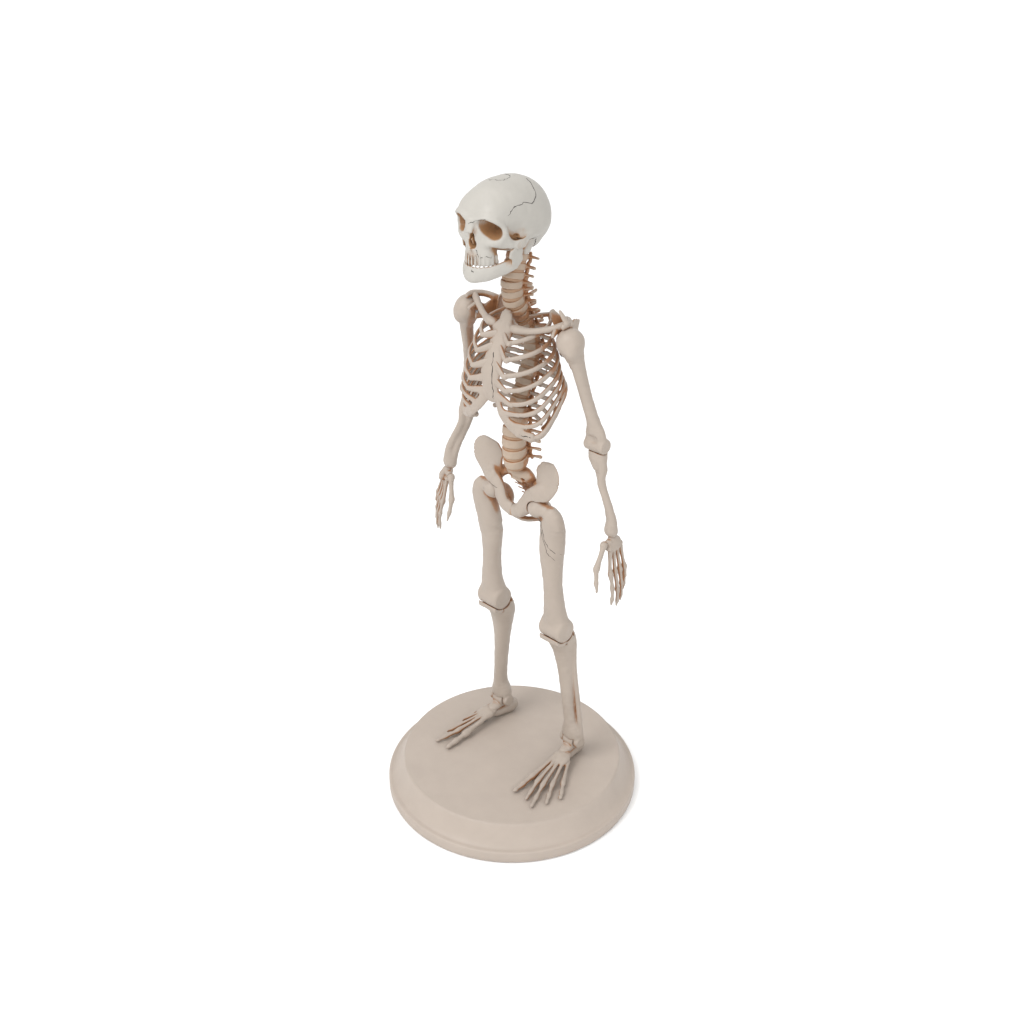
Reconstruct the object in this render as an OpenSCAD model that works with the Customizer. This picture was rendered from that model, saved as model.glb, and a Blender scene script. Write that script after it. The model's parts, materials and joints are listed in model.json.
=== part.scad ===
// Human skeleton model, standing on a round stepped base.
// Millimetres. The origin is the centre of the base's underside, +Z is up, the figure faces -Y
// and its left side is at +X.

/* [Stand] */
// Outer radius of the base's upright rim
base_r = 91.4; // [89:0.1:96]
// Height of the rim
rim_h = 9.5; // [8:0.1:11]
// Radius of the flat top
step_r = 79.2; // [77:0.1:81]
// Height of the flat top above the table
base_h = 24.8; // [24.8:0.1:25.2]
// Wall of the moulded base
wall = 3; // [2:0.1:3.5]

/* [Head] */
// Top of the skull above the table
skull_top = 450; // [447:0.5:452]
// Half of the skull's width
skull_half_w = 24.5; // [23:0.1:26]
// Distance of the neck's turning axis behind the figure's middle
neck_y = 5; // [4:0.1:8]
// Pivot of the lower jaw on the left side
jaw_pivot = [21, -15.5, 416]; // [0:0.1:450]

/* [Arms] */
// Left shoulder joint's centre
shoulder = [45.9, 4.1, 356.4]; // [0:0.1:450]
// Upper arm between shoulder and elbow, seen from the side
upper_arm = 67.5; // [60:0.5:70]
// Forearm between elbow and wrist, seen from the side
lower_arm = 61.5; // [58:0.5:64]
// How far the elbow stands out from the middle
elbow_x = 58; // [56:0.5:60]
// How far the wrist stands out from the middle
wrist_x = 71; // [68:0.5:73]

/* [Legs] */
// Left hip joint's centre
hip = [20.4, 3.1, 235.5]; // [0:0.1:450]
// Left knee joint's centre
knee = [30, 12.8, 142]; // [0:0.1:450]
// Left ankle joint's centre
ankle = [36, 26, 41]; // [0:0.1:450]

/* [Joints] */
// Radius of the shoulder and hip pins
big_pin = 1.2; // [1:0.05:1.3]
// Radius of the elbow, ankle and wrist pins
small_pin = 0.9; // [0.8:0.05:1]
// Radial clearance of a running pin
running = 0.05; // [0.03:0.01:0.08]
// Gap between the curved faces of a joint
gap = 0.4; // [0.35:0.05:0.5]

/* [Hidden] */
$fn = 48;
LEFT = 1;
RIGHT = -1;
BONE = "#c8bbad";
PALE = "#d6d2cb";
AMBER = "#c19b78";
STEEL = "#a8adb2";
STAND = "#c6b6a6";

// Rest angles about the X axis: the upper arm leans back, the forearm then bends forward
arm_back = [10.3, 14.3];
arm_bend = [9, 24.5];
// Turn of each hand about its own forearm
hand_turn = [0, 62];
function of_side(pair, side) = side == LEFT ? pair[0] : pair[1];

// ---------- Shared shapes ----------

function unit(v) = v / norm(v);
function point_of(k) = [k[0], k[1], k[2]];
function spline_point(a, b, c, d, t) =
    b + 0.5 * t * (c - a + t * (2 * a - 5 * b + 4 * c - d + t * (3 * (b - c) + d - a)));
function spline(keys, steps) =
    let (last = len(keys) - 1)
    concat([for (i = [0 : last - 1], j = [0 : steps - 1])
        spline_point(keys[max(i - 1, 0)], keys[i], keys[i + 1], keys[min(i + 2, last)], j / steps)],
        [keys[last]]);

// A closed tube through keys of [x, y, z, half width, half depth]; across sets the width's direction
module sweep(keys, across, sides = 10, steps = 2) {
    rings = spline(keys, steps);
    n = len(rings);
    corners = [for (i = [0 : n - 1])
        let (along = unit(point_of(rings[min(i + 1, n - 1)]) - point_of(rings[max(i - 1, 0)])),
             depth = unit(cross(along, across)),
             width = cross(depth, along))
        for (j = [0 : sides - 1])
            let (turn = 360 * j / sides)
            point_of(rings[i]) + rings[i][3] * cos(turn) * width + rings[i][4] * sin(turn) * depth];
    start_cap = [for (j = [0 : sides - 1]) j];
    end_cap = [for (j = [sides - 1 : -1 : 0]) (n - 1) * sides + j];
    skin = [for (i = [0 : n - 2], j = [0 : sides - 1])
        let (a = i * sides + j,
             b = i * sides + (j + 1) % sides,
             c = a + sides,
             d = b + sides)
        each [[a, c, d], [a, d, b]]];
    polyhedron(points = corners, faces = concat([start_cap, end_cap], skin), convexity = 8);
}

X_AXIS = [1, 0, 0];
Y_AXIS = [0, 1, 0];
Z_AXIS = [0, 0, 1];

// The left side as drawn, or its mirror image
module on_side(side) {
    if (side == LEFT) children();
    else mirror(X_AXIS) children();
}

// A round bar along X, centred on a point
module cross_bar(centre, radius, width) {
    translate(centre) rotate([0, 90, 0]) cylinder(r = radius, h = width, center = true);
}

module knob(centre, radius) {
    translate(centre) sphere(r = radius);
}

// ---------- Stand ----------

pad_h = 2.4;
pad_r = 7;
pad_at = 62;
foot_clear = 0.6;
plate_z = 1.4;
plate_h = 2.6;
plate_r = base_r - wall - 2.4;
screw_at = 74;
boss_r = 4.5;
screw_r = 1.4;
heel_at = [34.3, 31, 0];
midfoot_at = [38.5, 10, 0];

module around(radius, first) {
    for (a = [0 : 90 : 270]) rotate(a + first) translate([radius, 0, 0]) children();
}

module at_foot_screws() {
    for (side = [LEFT, RIGHT], spot = [heel_at, midfoot_at])
        translate([side * spot[0], spot[1], 0]) children();
}

// Outline of the stand, drawn in by a wall's thickness
function stand_outline(inset, floor_z) = concat(
    [[0, floor_z], [base_r - inset, floor_z], [base_r - inset, rim_h - 1.2 - inset / 2]],
    [for (a = [0 : 15 : 90]) [base_r - 2.4 + 2.4 * cos(a) - inset, rim_h - 1.2 + 1.2 * sin(a) - inset]],
    [for (t = [0.2 : 0.2 : 1])
        [base_r - 2.4 - inset - (base_r - 2.4 - step_r) * t,
         rim_h - inset + (base_h - rim_h) * (1 - pow(1 - t, 1.7))]],
    [[0, base_h - inset]]);

module base_shell() color(STAND) {
    difference() {
        rotate_extrude($fn = 96) polygon(stand_outline(0, foot_clear));
        difference() {
            rotate_extrude($fn = 96) polygon(stand_outline(wall, -1));
            around(screw_at, 0) cylinder(r = boss_r, h = base_h);
        }
        translate([0, 0, -1]) cylinder(r = plate_r + 0.2, h = plate_z + plate_h + 1.2, $fn = 96);
        around(screw_at, 0) cylinder(r = screw_r, h = 14);
        at_foot_screws() cylinder(r = screw_r + 0.2, h = base_h + 1);
    }
}

module base_plate() color(STAND) {
    difference() {
        translate([0, 0, plate_z]) cylinder(r = plate_r, h = plate_h, $fn = 96);
        around(screw_at, 0) cylinder(r = screw_r + 0.2, h = 10);
        around(screw_at, 0) cylinder(r = 3, h = plate_z + 1.2);
        around(pad_at, 45) cylinder(r = pad_r, h = pad_h);
    }
}

module base_pads() color("#3b3836") {
    around(pad_at, 45) rotate_extrude()
        polygon([[0, 0], [pad_r - 0.6, 0], [pad_r, 0.6], [pad_r, pad_h], [0, pad_h]]);
}

module screw(head_r, head_h, length, radius) {
    difference() {
        union() {
            cylinder(r = head_r, h = head_h);
            cylinder(r = radius, h = length);
        }
        translate([0, 0, -1]) for (a = [0, 90]) rotate(a)
            translate([-head_r / 2, -0.3, 0]) cube([head_r, 0.6, 1.5]);
    }
}

module base_screws() color(STEEL) {
    around(screw_at, 0) translate([0, 0, plate_z]) screw(2.8, 1.2, 11, screw_r);
}

module foot_screws() color(STEEL) {
    under_top = base_h - wall - 1.4;
    at_foot_screws() translate([0, 0, under_top]) screw(2.8, 1.4, 9, screw_r);
}

// ---------- Spine ----------

// Height against the distance of the spine's axis behind the middle
spine_axis = [[402, 5], [394, 2], [384, -0.5], [374, 1], [366, 5.5], [355, 13], [344, 18.5],
    [333, 18.5], [321, 13.5], [309, 8], [297, 4.5], [286, 2.5], [277, 1.8], [266, 3], [255, 6]];
function spine_y(z) = lookup(z, spine_axis);
function spine_tilt(z) = atan2(spine_y(z + 3) - spine_y(z - 3), 6);
function levels(first, pitch, count) = [for (i = [0 : count - 1]) first - pitch * i];
CERVICAL = levels(400.5, 5.4, 7);
THORACIC = levels(362.6, 5.75, 12);
LUMBAR = levels(292.6, 7.2, 5);
rod_r = 1;
peg_top = 412;

// One vertebra: a waisted drum with two side processes and one behind
module vertebra(z, radius, height, side_reach, back_reach, drop) {
    translate([0, spine_y(z), z]) rotate([-spine_tilt(z), 0, 0]) difference() {
        union() {
            cylinder(r = radius, h = height, center = true, $fn = 12);
            for (side = [LEFT, RIGHT]) hull() {
                translate([side * radius * 0.5, radius * 0.7, 0]) cube([1.6, 1.6, height * 0.5], center = true);
                translate([side * side_reach, radius * 1.1, 0.3]) cube([1.4, 1.6, 1.8], center = true);
            }
            hull() {
                translate([0, radius * 0.9, 0]) cube([radius, 1.5, height * 0.5], center = true);
                translate([0, back_reach, -drop]) cube([1.3, 1.6, 2], center = true);
            }
        }
        cylinder(r = rod_r, h = height * 3, center = true, $fn = 8);
    }
}

module cervical_vertebrae() color(BONE) {
    for (i = [0 : 6])
        vertebra(CERVICAL[i], 5.2, 3.5, i == 0 ? 10 : 8.2, 10 + 1.4 * i, 1 + 0.4 * i);
}

module thoracic_vertebrae() color(BONE) {
    for (i = [0 : 11])
        vertebra(THORACIC[i], 5 + 0.13 * i, 4, 9.5 - 0.2 * i, 13 - 0.2 * i, 3.6);
}

module lumbar_vertebrae() color(BONE) {
    for (i = [0 : 4]) vertebra(LUMBAR[i], 7 + 0.15 * i, 5.8, 13, 14, 1.5);
}

module spine_discs() color(AMBER) {
    joints = concat(
        [for (i = [0 : 5]) [(CERVICAL[i] + CERVICAL[i + 1]) / 2, 4.7, 1.7]],
        [[(CERVICAL[6] + THORACIC[0]) / 2, 4.7, 1.7]],
        [for (i = [0 : 10]) [(THORACIC[i] + THORACIC[i + 1]) / 2, 4.6 + 0.13 * i, 1.55]],
        [[(THORACIC[11] + LUMBAR[0]) / 2, 6.2, 1.5]],
        [for (i = [0 : 3]) [(LUMBAR[i] + LUMBAR[i + 1]) / 2, 6.6, 1.4]],
        [[LUMBAR[4] - 3.6, 6.8, 1.4]]);
    for (j = joints)
        translate([0, spine_y(j[0]), j[0]]) rotate([-spine_tilt(j[0]), 0, 0]) difference() {
            cylinder(r = j[1], h = j[2], center = true);
            cylinder(r = rod_r, h = 4, center = true);
        }
}

module spine_rod() color(STEEL) {
    line = [for (z = [252 : 8 : 396]) [0, spine_y(z), z, rod_r, rod_r]];
    sweep(line, X_AXIS, 8, 1);
    translate([0, neck_y, 399]) cylinder(r = small_pin + 0.3, h = peg_top - 399);
    hull() {
        translate([0, neck_y, 399]) cylinder(r = small_pin + 0.3, h = 1, $fn = 16);
        translate([0, spine_y(394), 394]) sphere(r = rod_r, $fn = 12);
    }
}

module sacrum() color(BONE) {
    sweep([[0, 6.5, 255, 6, 4], [0, 8, 253, 12, 5.5], [0, 11, 248, 11, 5], [0, 15, 241, 7, 3.6],
        [0, 17, 235, 4, 2.6], [0, 15.5, 230, 2, 1.6], [0, 13.5, 228, 0.8, 0.8]], X_AXIS, 12, 2);
}

// ---------- Head ----------

skull_mid = skull_top - 22.5;

module eye_socket(side) {
    sweep([[side * 8, -18, 424, 0.8, 0.8], [side * 9, -22, 424.5, 4, 4],
        [side * 11, -28, 425, 6.8, 5.8], [side * 12, -40, 426, 7.6, 6.6]], X_AXIS, 10, 2);
}

module skull() color(PALE) {
    w = skull_half_w;
    difference() {
        union() {
            sweep([[0, -34.5, skull_mid + 2, 3, 3], [0, -33.5, skull_mid + 2, 12, 9.5],
                [0, -26, skull_mid + 1.5, 19, 17], [0, -14, skull_mid + 0.5, 22.5, 21.5],
                [0, -2, skull_mid, w, 22.5], [0, 8, skull_mid - 1, w - 1.5, 21],
                [0, 17, skull_mid - 2, 18.5, 16.5], [0, 22.5, skull_mid - 3, 10, 9],
                [0, 24.5, skull_mid - 3, 2.5, 2.5]], X_AXIS, 16, 2);
            sweep([[0, -26, 433, 18, 9], [0, -28, 424, 17.5, 8.5], [0, -28, 416, 12.5, 8.5],
                [0, -28, 409, 10.5, 9], [0, -28, 404.4, 10, 8.8]], X_AXIS, 12, 2);
            for (side = [LEFT, RIGHT])
                sweep([[side * 13, -32, 420, 3, 3.5], [side * 19.5, -30.5, 419, 2.4, 3],
                    [side * 23, -25, 418.6, 1.6, 2.4], [side * 22.4, -19, 419.8, 1.6, 2],
                    [side * 18, -12, 421, 2, 2.5]], Z_AXIS, 8, 2);
        }
        for (side = [LEFT, RIGHT]) eye_socket(side);
        sweep([[0, -27, 416, 1.5, 2.5], [0, -33, 417, 3.2, 5], [0, -42, 418, 3.6, 6]], X_AXIS, 10, 2);
        // Room for the jaw's knuckles
        for (side = [LEFT, RIGHT])
            cross_bar([side * jaw_pivot[0], jaw_pivot[1], jaw_pivot[2]], 3.4, 4.6);
        // Room for the neck
        translate([0, neck_y, 390]) cylinder(r = 13, h = 13.6);
        // The hole that turns on the peg, and the jaw pins' holes
        translate([0, neck_y, 395]) cylinder(r = small_pin + 0.3 + running, h = peg_top + 0.6 - 395);
        for (side = [LEFT, RIGHT])
            cross_bar([side * (jaw_pivot[0] - 4.5), jaw_pivot[1], jaw_pivot[2]], 0.8, 9);
    }
}

module jaw() color(PALE) {
    p = jaw_pivot;
    difference() {
        union() {
            for (side = [LEFT, RIGHT]) {
                sweep([[side * 21, -15.5, 416, 1.4, 2], [side * 21.2, -17, 411, 1.4, 4.2],
                    [side * 21, -17.6, 405.5, 1.6, 5], [side * 20.3, -18, 402, 1.6, 4]], X_AXIS, 8, 2);
                cross_bar([side * p[0], p[1], p[2]], 2.6, 3);
            }
            sweep([for (t = [-1 : 0.25 : 1])
                [20.4 * sin(90 * t), -16.5 - 17.5 * cos(90 * t), 402.8 - 4.8 * cos(90 * t), 2, 4.6]],
                Z_AXIS, 8, 1);
        }
        for (side = [LEFT, RIGHT])
            cross_bar([side * p[0], p[1], p[2]], 0.8 + running, 5);
    }
}

module jaw_pins() color(STEEL) {
    for (side = [LEFT, RIGHT])
        cross_bar([side * (jaw_pivot[0] - 1.6), jaw_pivot[1], jaw_pivot[2]], 0.8, 8);
}

// ---------- Chest ----------

// Each rib: height at the spine, height at the front, half width, front and back of its ring, how
// square the ring is, and how late the rib rises towards the spine
RIBS = [[361.5, 350, 21.5, -17, 24, 0.95, 0.6], [354.5, 340.6, 26, -20.5, 23, 1.0, 0.65],
    [347.5, 332, 29, -23, 22.5, 0.95, 0.8], [342, 323.6, 31, -23, 22, 0.85, 0.95],
    [337, 315.6, 32.5, -21.8, 20, 0.72, 1.1], [332.5, 309, 34, -20, 18.5, 0.62, 1.15],
    [328.5, 301, 35, -16.5, 17.5, 0.5, 1.1], [325.5, 293, 36, -13.5, 17, 0.42, 1.02],
    [318, 290, 34, -11, 15, 0.5, 1.0], [311, 289, 31, -9, 13, 0.6, 1.0],
    [303.8, 292, 28, -8, 11.5, 0.8, 1.0], [298, 290, 22, -5, 10, 1.0, 1.0]];
// Where each rib's bone ends, as an angle from the front
RIB_END = [32, 30, 28, 27, 28, 30, 34, 40, 46, 54, 80, 110];
// Height on the sternum that each of the first five cartilages joins
STERNUM_Z = [352.6, 345.6, 336.4, 327.3, 318.1];
// The sloping lower margin that gathers the cartilages of ribs 6 to 10
MARGIN = [[5, -18.2, 315], [10, -19.6, 308], [16, -19, 302], [22.5, -16.6, 297], [29, -12.6, 294.6]];
// Point of the margin that ribs 6 to 10 run to
MARGIN_SPOT = [1, 2, 3, 4, 4];
// The cartilages start a little off the margin's own line
MARGIN_IN = [0.4, 0.2, 0.5];
rib_a = 1.6;
rib_b = 1.25;

function sternum_y(z) = lookup(z, [[300, -16.5], [314, -17.6], [322.8, -19.4], [333.7, -18.6], [342.6, -14.6],
    [350, -11], [360, -6.4], [366, -3.7]]);
function rib_point(i, angle) =
    let (r = RIBS[i],
         s = abs(sin(angle)),
         c = cos(angle),
         depth = (1 - sign(c) * pow(abs(c), r[5])) / 2)
    [r[2] * pow(s, r[5]), r[3] + (r[4] - r[3]) * depth, r[1] + (r[0] - r[1]) * pow(depth, r[6])];

module rib(i) {
    ring = [for (t = [0 : 0.1 : 1])
        let (angle = RIB_END[i] + (152 - RIB_END[i]) * t)
        concat(rib_point(i, angle), [rib_a, rib_b])];
    head = [4.2, spine_y(RIBS[i][0]) + 1.5, RIBS[i][0], 1, 1.2];
    sweep(concat(ring, [head]), Z_AXIS, 6, 1);
}

module ribs(side) color(BONE) on_side(side) for (i = [0 : 11]) rib(i);

module ribs_left() ribs(LEFT);
module ribs_right() ribs(RIGHT);

module cartilage(side) color(BONE) on_side(side) {
    for (i = [0 : 4])
        sweep([[3, sternum_y(STERNUM_Z[i]), STERNUM_Z[i] + 0.6, 3, 1.3],
            concat(rib_point(i, RIB_END[i] * 0.9), [1.7, 1.3]),
            concat(rib_point(i, RIB_END[i] + 2), [rib_a, rib_b])], Z_AXIS, 6, 2);
    for (i = [5 : 9])
        sweep([concat(MARGIN[MARGIN_SPOT[i - 5]] + MARGIN_IN * (i - 6.7), [2.1, 1.15]),
            concat(rib_point(i, RIB_END[i] * 0.85), [1.7, 1.3]),
            concat(rib_point(i, RIB_END[i] + 2), [rib_a, rib_b])], Z_AXIS, 6, 2);
    sweep([for (spot = MARGIN) concat(spot, [3.2, 1.4])], Z_AXIS, 8, 2);
}

module cartilage_left() cartilage(LEFT);
module cartilage_right() cartilage(RIGHT);

module sternum() color(BONE) {
    sweep([[0, -3.6, 367, 2.6, 2], [0, -3.9, 365, 4.2, 2.2], [0, -6, 360, 5.6, 2.1], [0, -9, 354, 8, 2.1],
        [0, -12.6, 347, 7, 2], [0, -16, 340, 7.4, 2], [0, -18.8, 333, 8.2, 1.9], [0, -19.4, 325, 7.2, 1.9],
        [0, -18.4, 317.5, 6.6, 1.8], [0, -17.6, 313, 4, 1.6]], X_AXIS, 10, 2);
}

module clavicle(side) color(BONE) on_side(side) {
    sweep([[8.6, -7.4, 359, 2.7, 2.7], [12, -7.4, 359.2, 2.9, 2.7], [20, -3.6, 359.4, 2.1, 2],
        [30, 1.6, 362, 2, 1.9], [37.5, 5.6, 365.6, 1.9, 2], [41, 7.6, 367.4, 1.5, 1.6]], Z_AXIS, 8, 2);
}

module clavicle_left() clavicle(LEFT);
module clavicle_right() clavicle(RIGHT);

// Shoulder blade: socket stem, blade, spine with its overhanging tip, and the hooked process
module scapula(side) color(BONE) on_side(side) difference() {
    union() {
        sweep([[35.2, 4.8, 356, 1.4, 4.8], [33.2, 7.7, 355.6, 1.9, 4.4], [31, 13, 355, 1.4, 8],
            [28.5, 20, 351.5, 1.3, 12], [27.4, 27, 348, 1.2, 12.5], [27, 31, 348, 0.9, 8]],
            X_AXIS + Y_AXIS * 0.2, 8, 1);
        sweep([[31, 18, 345, 1.2, 4], [31.6, 23.5, 336, 1.2, 5.6], [32, 27.5, 327, 1.1, 4],
            [32.4, 29.5, 320, 0.9, 1.4]], X_AXIS, 8, 1);
        sweep([[26.6, 28, 356, 1.2, 1.2], [26, 20.6, 361.4, 2, 1.3], [31, 15.6, 364.4, 2.2, 1.4],
            [36.6, 12, 366.6, 1.8, 1.4], [40.6, 6, 367.6, 1.6, 1.8], [41.2, 2, 367.4, 1.2, 1.4]], Z_AXIS, 8, 1);
        sweep([[34, 8, 358.6, 1.9, 2], [34.2, 3.6, 362, 1.7, 1.8], [35, -1.6, 360, 1.4, 1.5]],
            X_AXIS, 8, 1);
        sweep([[28, 19, 354, 1.2, 4], [24.5, 15, 362, 1.1, 4], [21.6, 12.4, 368.4, 0.9, 2.2]], X_AXIS, 8, 1);
    }
    cross_bar([shoulder[0] - 9, shoulder[1], shoulder[2]], big_pin, 10);
}

module scapula_left() scapula(LEFT);
module scapula_right() scapula(RIGHT);

module shoulder_pins() color(STEEL) {
    for (side = [LEFT, RIGHT])
        cross_bar([side * (shoulder[0] - 4.5), shoulder[1], shoulder[2]], big_pin, 15);
}

// ---------- Arms ----------

// Arms are drawn hanging straight down from the shoulder, then posed joint by joint about X
elbow_down = [elbow_x, shoulder[1], shoulder[2] - upper_arm];
wrist_down = [wrist_x, shoulder[1], elbow_down[2] - lower_arm];
trochlea_r = 5;
tongue_w = 3;

module turn_about(centre, angle, axis = X_AXIS) {
    translate(centre) rotate(angle, axis) translate(-centre) children();
}

module pose_upper_arm(side) on_side(side)
    turn_about(shoulder, of_side(arm_back, side)) children();
module pose_forearm(side) pose_upper_arm(side)
    turn_about(elbow_down, -of_side(arm_bend, side)) children();
module pose_hand(side) pose_forearm(side)
    turn_about(wrist_down, of_side(hand_turn, side), wrist_axis) children();

wrist_axis = unit(wrist_down - elbow_down);
// Turns +Z onto the forearm's line, pointing up the forearm
module along_forearm(at) {
    lean = atan2(wrist_x - elbow_x, lower_arm);
    translate(at) rotate([0, -lean, 0]) children();
}

module humerus(side) color(BONE) pose_upper_arm(side) {
    s = shoulder;
    e = elbow_down;
    difference() {
        union() {
            knob(s, 9);
            sweep([concat(s + [-1, 0, 2], [6, 6]), concat(s + [0.5, 0, -6], [7, 6.4]),
                concat(s + [2.2, 0, -14], [4.8, 4.8]), concat(s + [5.8, 0.4, -33], [3.9, 3.9]),
                concat(e + [-2, 0.4, 17], [4.4, 3.8]), concat(e + [-0.3, 0, 8], [7.4, 4]),
                concat(e + [0, 0, 2], [7.6, 3.6])], X_AXIS, 10, 2);
            cross_bar(e, trochlea_r, 15);
        }
        cross_bar(e, trochlea_r + 1.2, tongue_w + 0.6);
        cross_bar(e, small_pin, 12);
        cross_bar([s[0] - 4.5, s[1], s[2]], big_pin + running, 16);
    }
}

module humerus_left() humerus(LEFT);
module humerus_right() humerus(RIGHT);

module elbow_pin(side) color(STEEL) pose_upper_arm(side) cross_bar(elbow_down, small_pin, 12);
module elbow_pin_left() elbow_pin(LEFT);
module elbow_pin_right() elbow_pin(RIGHT);

// Ulna and radius in one piece: they meet at both ends and part in between
module forearm(side) color(BONE) pose_forearm(side) {
    e = elbow_down;
    w = wrist_down;
    difference() {
        union() {
            sweep([concat(e + [0, 1.2, -5.2], [7, 4.4]), concat(e + [0.2, 0.6, -9], [6.6, 4.6]),
                concat(e + [1.5, 0, -15], [4, 3.4])], X_AXIS, 10, 2);
            sweep([concat(e + [-1.5, 1.6, -8], [3, 3]), concat(e + [1, 2.2, -22], [2.2, 2.4]),
                concat(w + [-3.6, 2, 16], [1.9, 2]), concat(w + [-2, 1, 3], [2.4, 2.6])], X_AXIS, 8, 2);
            sweep([concat(e + [3, -0.6, -8], [2.6, 2.6]), concat(e + [5.6, -1.4, -24], [2.5, 2.5]),
                concat(w + [1.5, -1, 16], [2.8, 2.6]), concat(w + [0.4, -0.4, 6], [5, 4]),
                concat(w + [0, 0, 1], [5, 4])], X_AXIS, 8, 2);
        }
        cross_bar(e, trochlea_r + gap, 20);
        along_forearm(w) translate([0, 0, -6]) cylinder(r = 12, h = 6);
        along_forearm(w) cylinder(r = small_pin, h = 6);
    }
    difference() {
        union() {
            cross_bar(e, trochlea_r - 0.6, tongue_w);
            translate(e + [-tongue_w / 2, -3, -7]) cube([tongue_w, 6, 6]);
        }
        cross_bar(e, small_pin + running, 5);
    }
}

module forearm_left() forearm(LEFT);
module forearm_right() forearm(RIGHT);

module wrist_peg(side) color(STEEL) pose_forearm(side)
    along_forearm(wrist_down) translate([0, 0, -5]) cylinder(r = small_pin, h = 10);
module wrist_peg_left() wrist_peg(LEFT);
module wrist_peg_right() wrist_peg(RIGHT);

// Hands hang along the forearm's line; the palm faces the body and the thumb is in front
module hand_frame() along_forearm(wrist_down) children();

module carpals(side) color(BONE) pose_hand(side) hand_frame() difference() {
    sweep([[0, 1.2, -gap - 0.8, 3.2, 4], [0, 1.4, -3, 3.8, 6], [0, 2, -7.5, 3.4, 6.6], [0, 2, -10.5, 2.2, 5.6]],
        X_AXIS, 10, 2);
    translate([0, 0, -5.6]) cylinder(r = small_pin + running, h = 8);
}

module carpals_left() carpals(LEFT);
module carpals_right() carpals(RIGHT);

// Fingers: sideways place at the palm, at the knuckle and at the tip, and the drop of the tip
FINGERS = [[-2.8, -4.8, -4.4, -48], [0.6, -0.3, 0.2, -50.5], [4, 4.2, 4.6, -48], [7.4, 8.6, 8.6, -42]];

module fingers(side) color(BONE) pose_hand(side) hand_frame() {
    for (f = FINGERS) {
        tip = f[3];
        sweep([[0, f[0], -9.6, 1.5, 1.6], [-0.4, (f[0] + f[1]) / 2, -16, 1.2, 1.2], [-0.6, f[1], -25, 1.9, 1.9],
            [-0.8, f[1], -30, 1.3, 1.3], [-1.4, f[2], tip + 12, 1.6, 1.6], [-2.4, f[2], tip + 7, 1.1, 1.1],
            [-3.4, f[2], tip + 3, 1.3, 1.3], [-4.6, f[2], tip, 0.6, 0.6]], X_AXIS, 7, 1);
    }
}

module fingers_left() fingers(LEFT);
module fingers_right() fingers(RIGHT);

module thumb(side) color(BONE) pose_hand(side) hand_frame() {
    sweep([[-0.5, -5.2, -2.6, 1.2, 1.2], [-0.8, -6.6, -3.6, 2.5, 2.5], [-1.4, -9.4, -8, 1.7, 1.7],
        [-2.2, -13, -14, 1.7, 1.7], [-2.6, -15, -17.5, 2.2, 2.2], [-2.8, -16, -22, 1.4, 1.4],
        [-2.8, -17, -27, 1.5, 1.5], [-2.8, -17.4, -33, 0.6, 0.6]], X_AXIS, 8, 1);
}

module thumb_left() thumb(LEFT);
module thumb_right() thumb(RIGHT);

// ---------- Pelvis ----------

head_r = 6.6;
knob_reach = 12;

module hip_bone(side) color(BONE) on_side(side) difference() {
    union() {
        sweep([[20.4, 4.5, 236, 5, 5.5], [21.4, 4.5, 241, 5.5, 5], [23, 5, 247, 8, 3.4], [25.2, 5, 253, 10.2, 2.4],
            [26.5, 5.2, 259, 11.4, 2], [26, 5.8, 264.5, 10, 1.7], [25, 6.4, 268.4, 6, 1.2]],
            X_AXIS - Y_AXIS * 0.2, 10, 2);
        sweep([[24, 3.4, 250, 4.4, 3.4], [17.4, 2.3, 243.6, 6, 3.5], [12.6, 1.7, 236.6, 6, 3.5],
            [7.6, 0.7, 230.4, 4.9, 3.2], [1.1, 1.4, 227.4, 4.6, 3]], Z_AXIS, 10, 2);
        sweep([[14.5, 3.6, 235.5, 4, 4.4], [19, 7, 235, 4.4, 4.4], [18.6, 12.6, 231.5, 3.8, 4.2],
            [17, 14.6, 226.4, 3.6, 3.8], [15.4, 13, 222.6, 2.8, 3.2]], X_AXIS, 10, 2);
        sweep([[15.4, 12.6, 223, 2.4, 2.4], [10, 8, 221.4, 1.7, 2.2], [5, 4, 222, 1.7, 2.2],
            [1.4, 2.4, 224, 1.8, 2.2]], Z_AXIS, 8, 2);
        sweep([[20, 8, 246, 4, 5], [15.5, 12.5, 248.5, 3, 6], [11.2, 13.5, 247.5, 2.4, 5]], Z_AXIS, 10, 2);
    }
    // The socket, open to the side for the thigh bone's neck and its turning outer knob
    knob(hip, head_r + gap);
    cross_bar([hip[0] + 15, hip[1], hip[2]], head_r + gap, 30);
    cross_bar([hip[0] + 17.4, hip[1], hip[2]], knob_reach + gap, 29);
    cross_bar([hip[0] - 8, hip[1], hip[2]], big_pin, 10);
}

module hip_bone_left() hip_bone(LEFT);
module hip_bone_right() hip_bone(RIGHT);

module pubic_disc() color(AMBER) {
    translate([0, 1.5, 227]) rotate([0, 90, 0]) cylinder(r = 3.6, h = 2.2, center = true);
}

module hip_pins() color(STEEL) {
    for (side = [LEFT, RIGHT])
        cross_bar([side * (hip[0] - 3.6), hip[1], hip[2]], big_pin, 12);
}

// ---------- Legs ----------

condyle_r = 8.5;
condyle_w = 20;
pad_w = 17;
pad_outer = condyle_r + 3.4;
knee_tongue = 4;
mortise_r = 6;
talus_w = 9;

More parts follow.
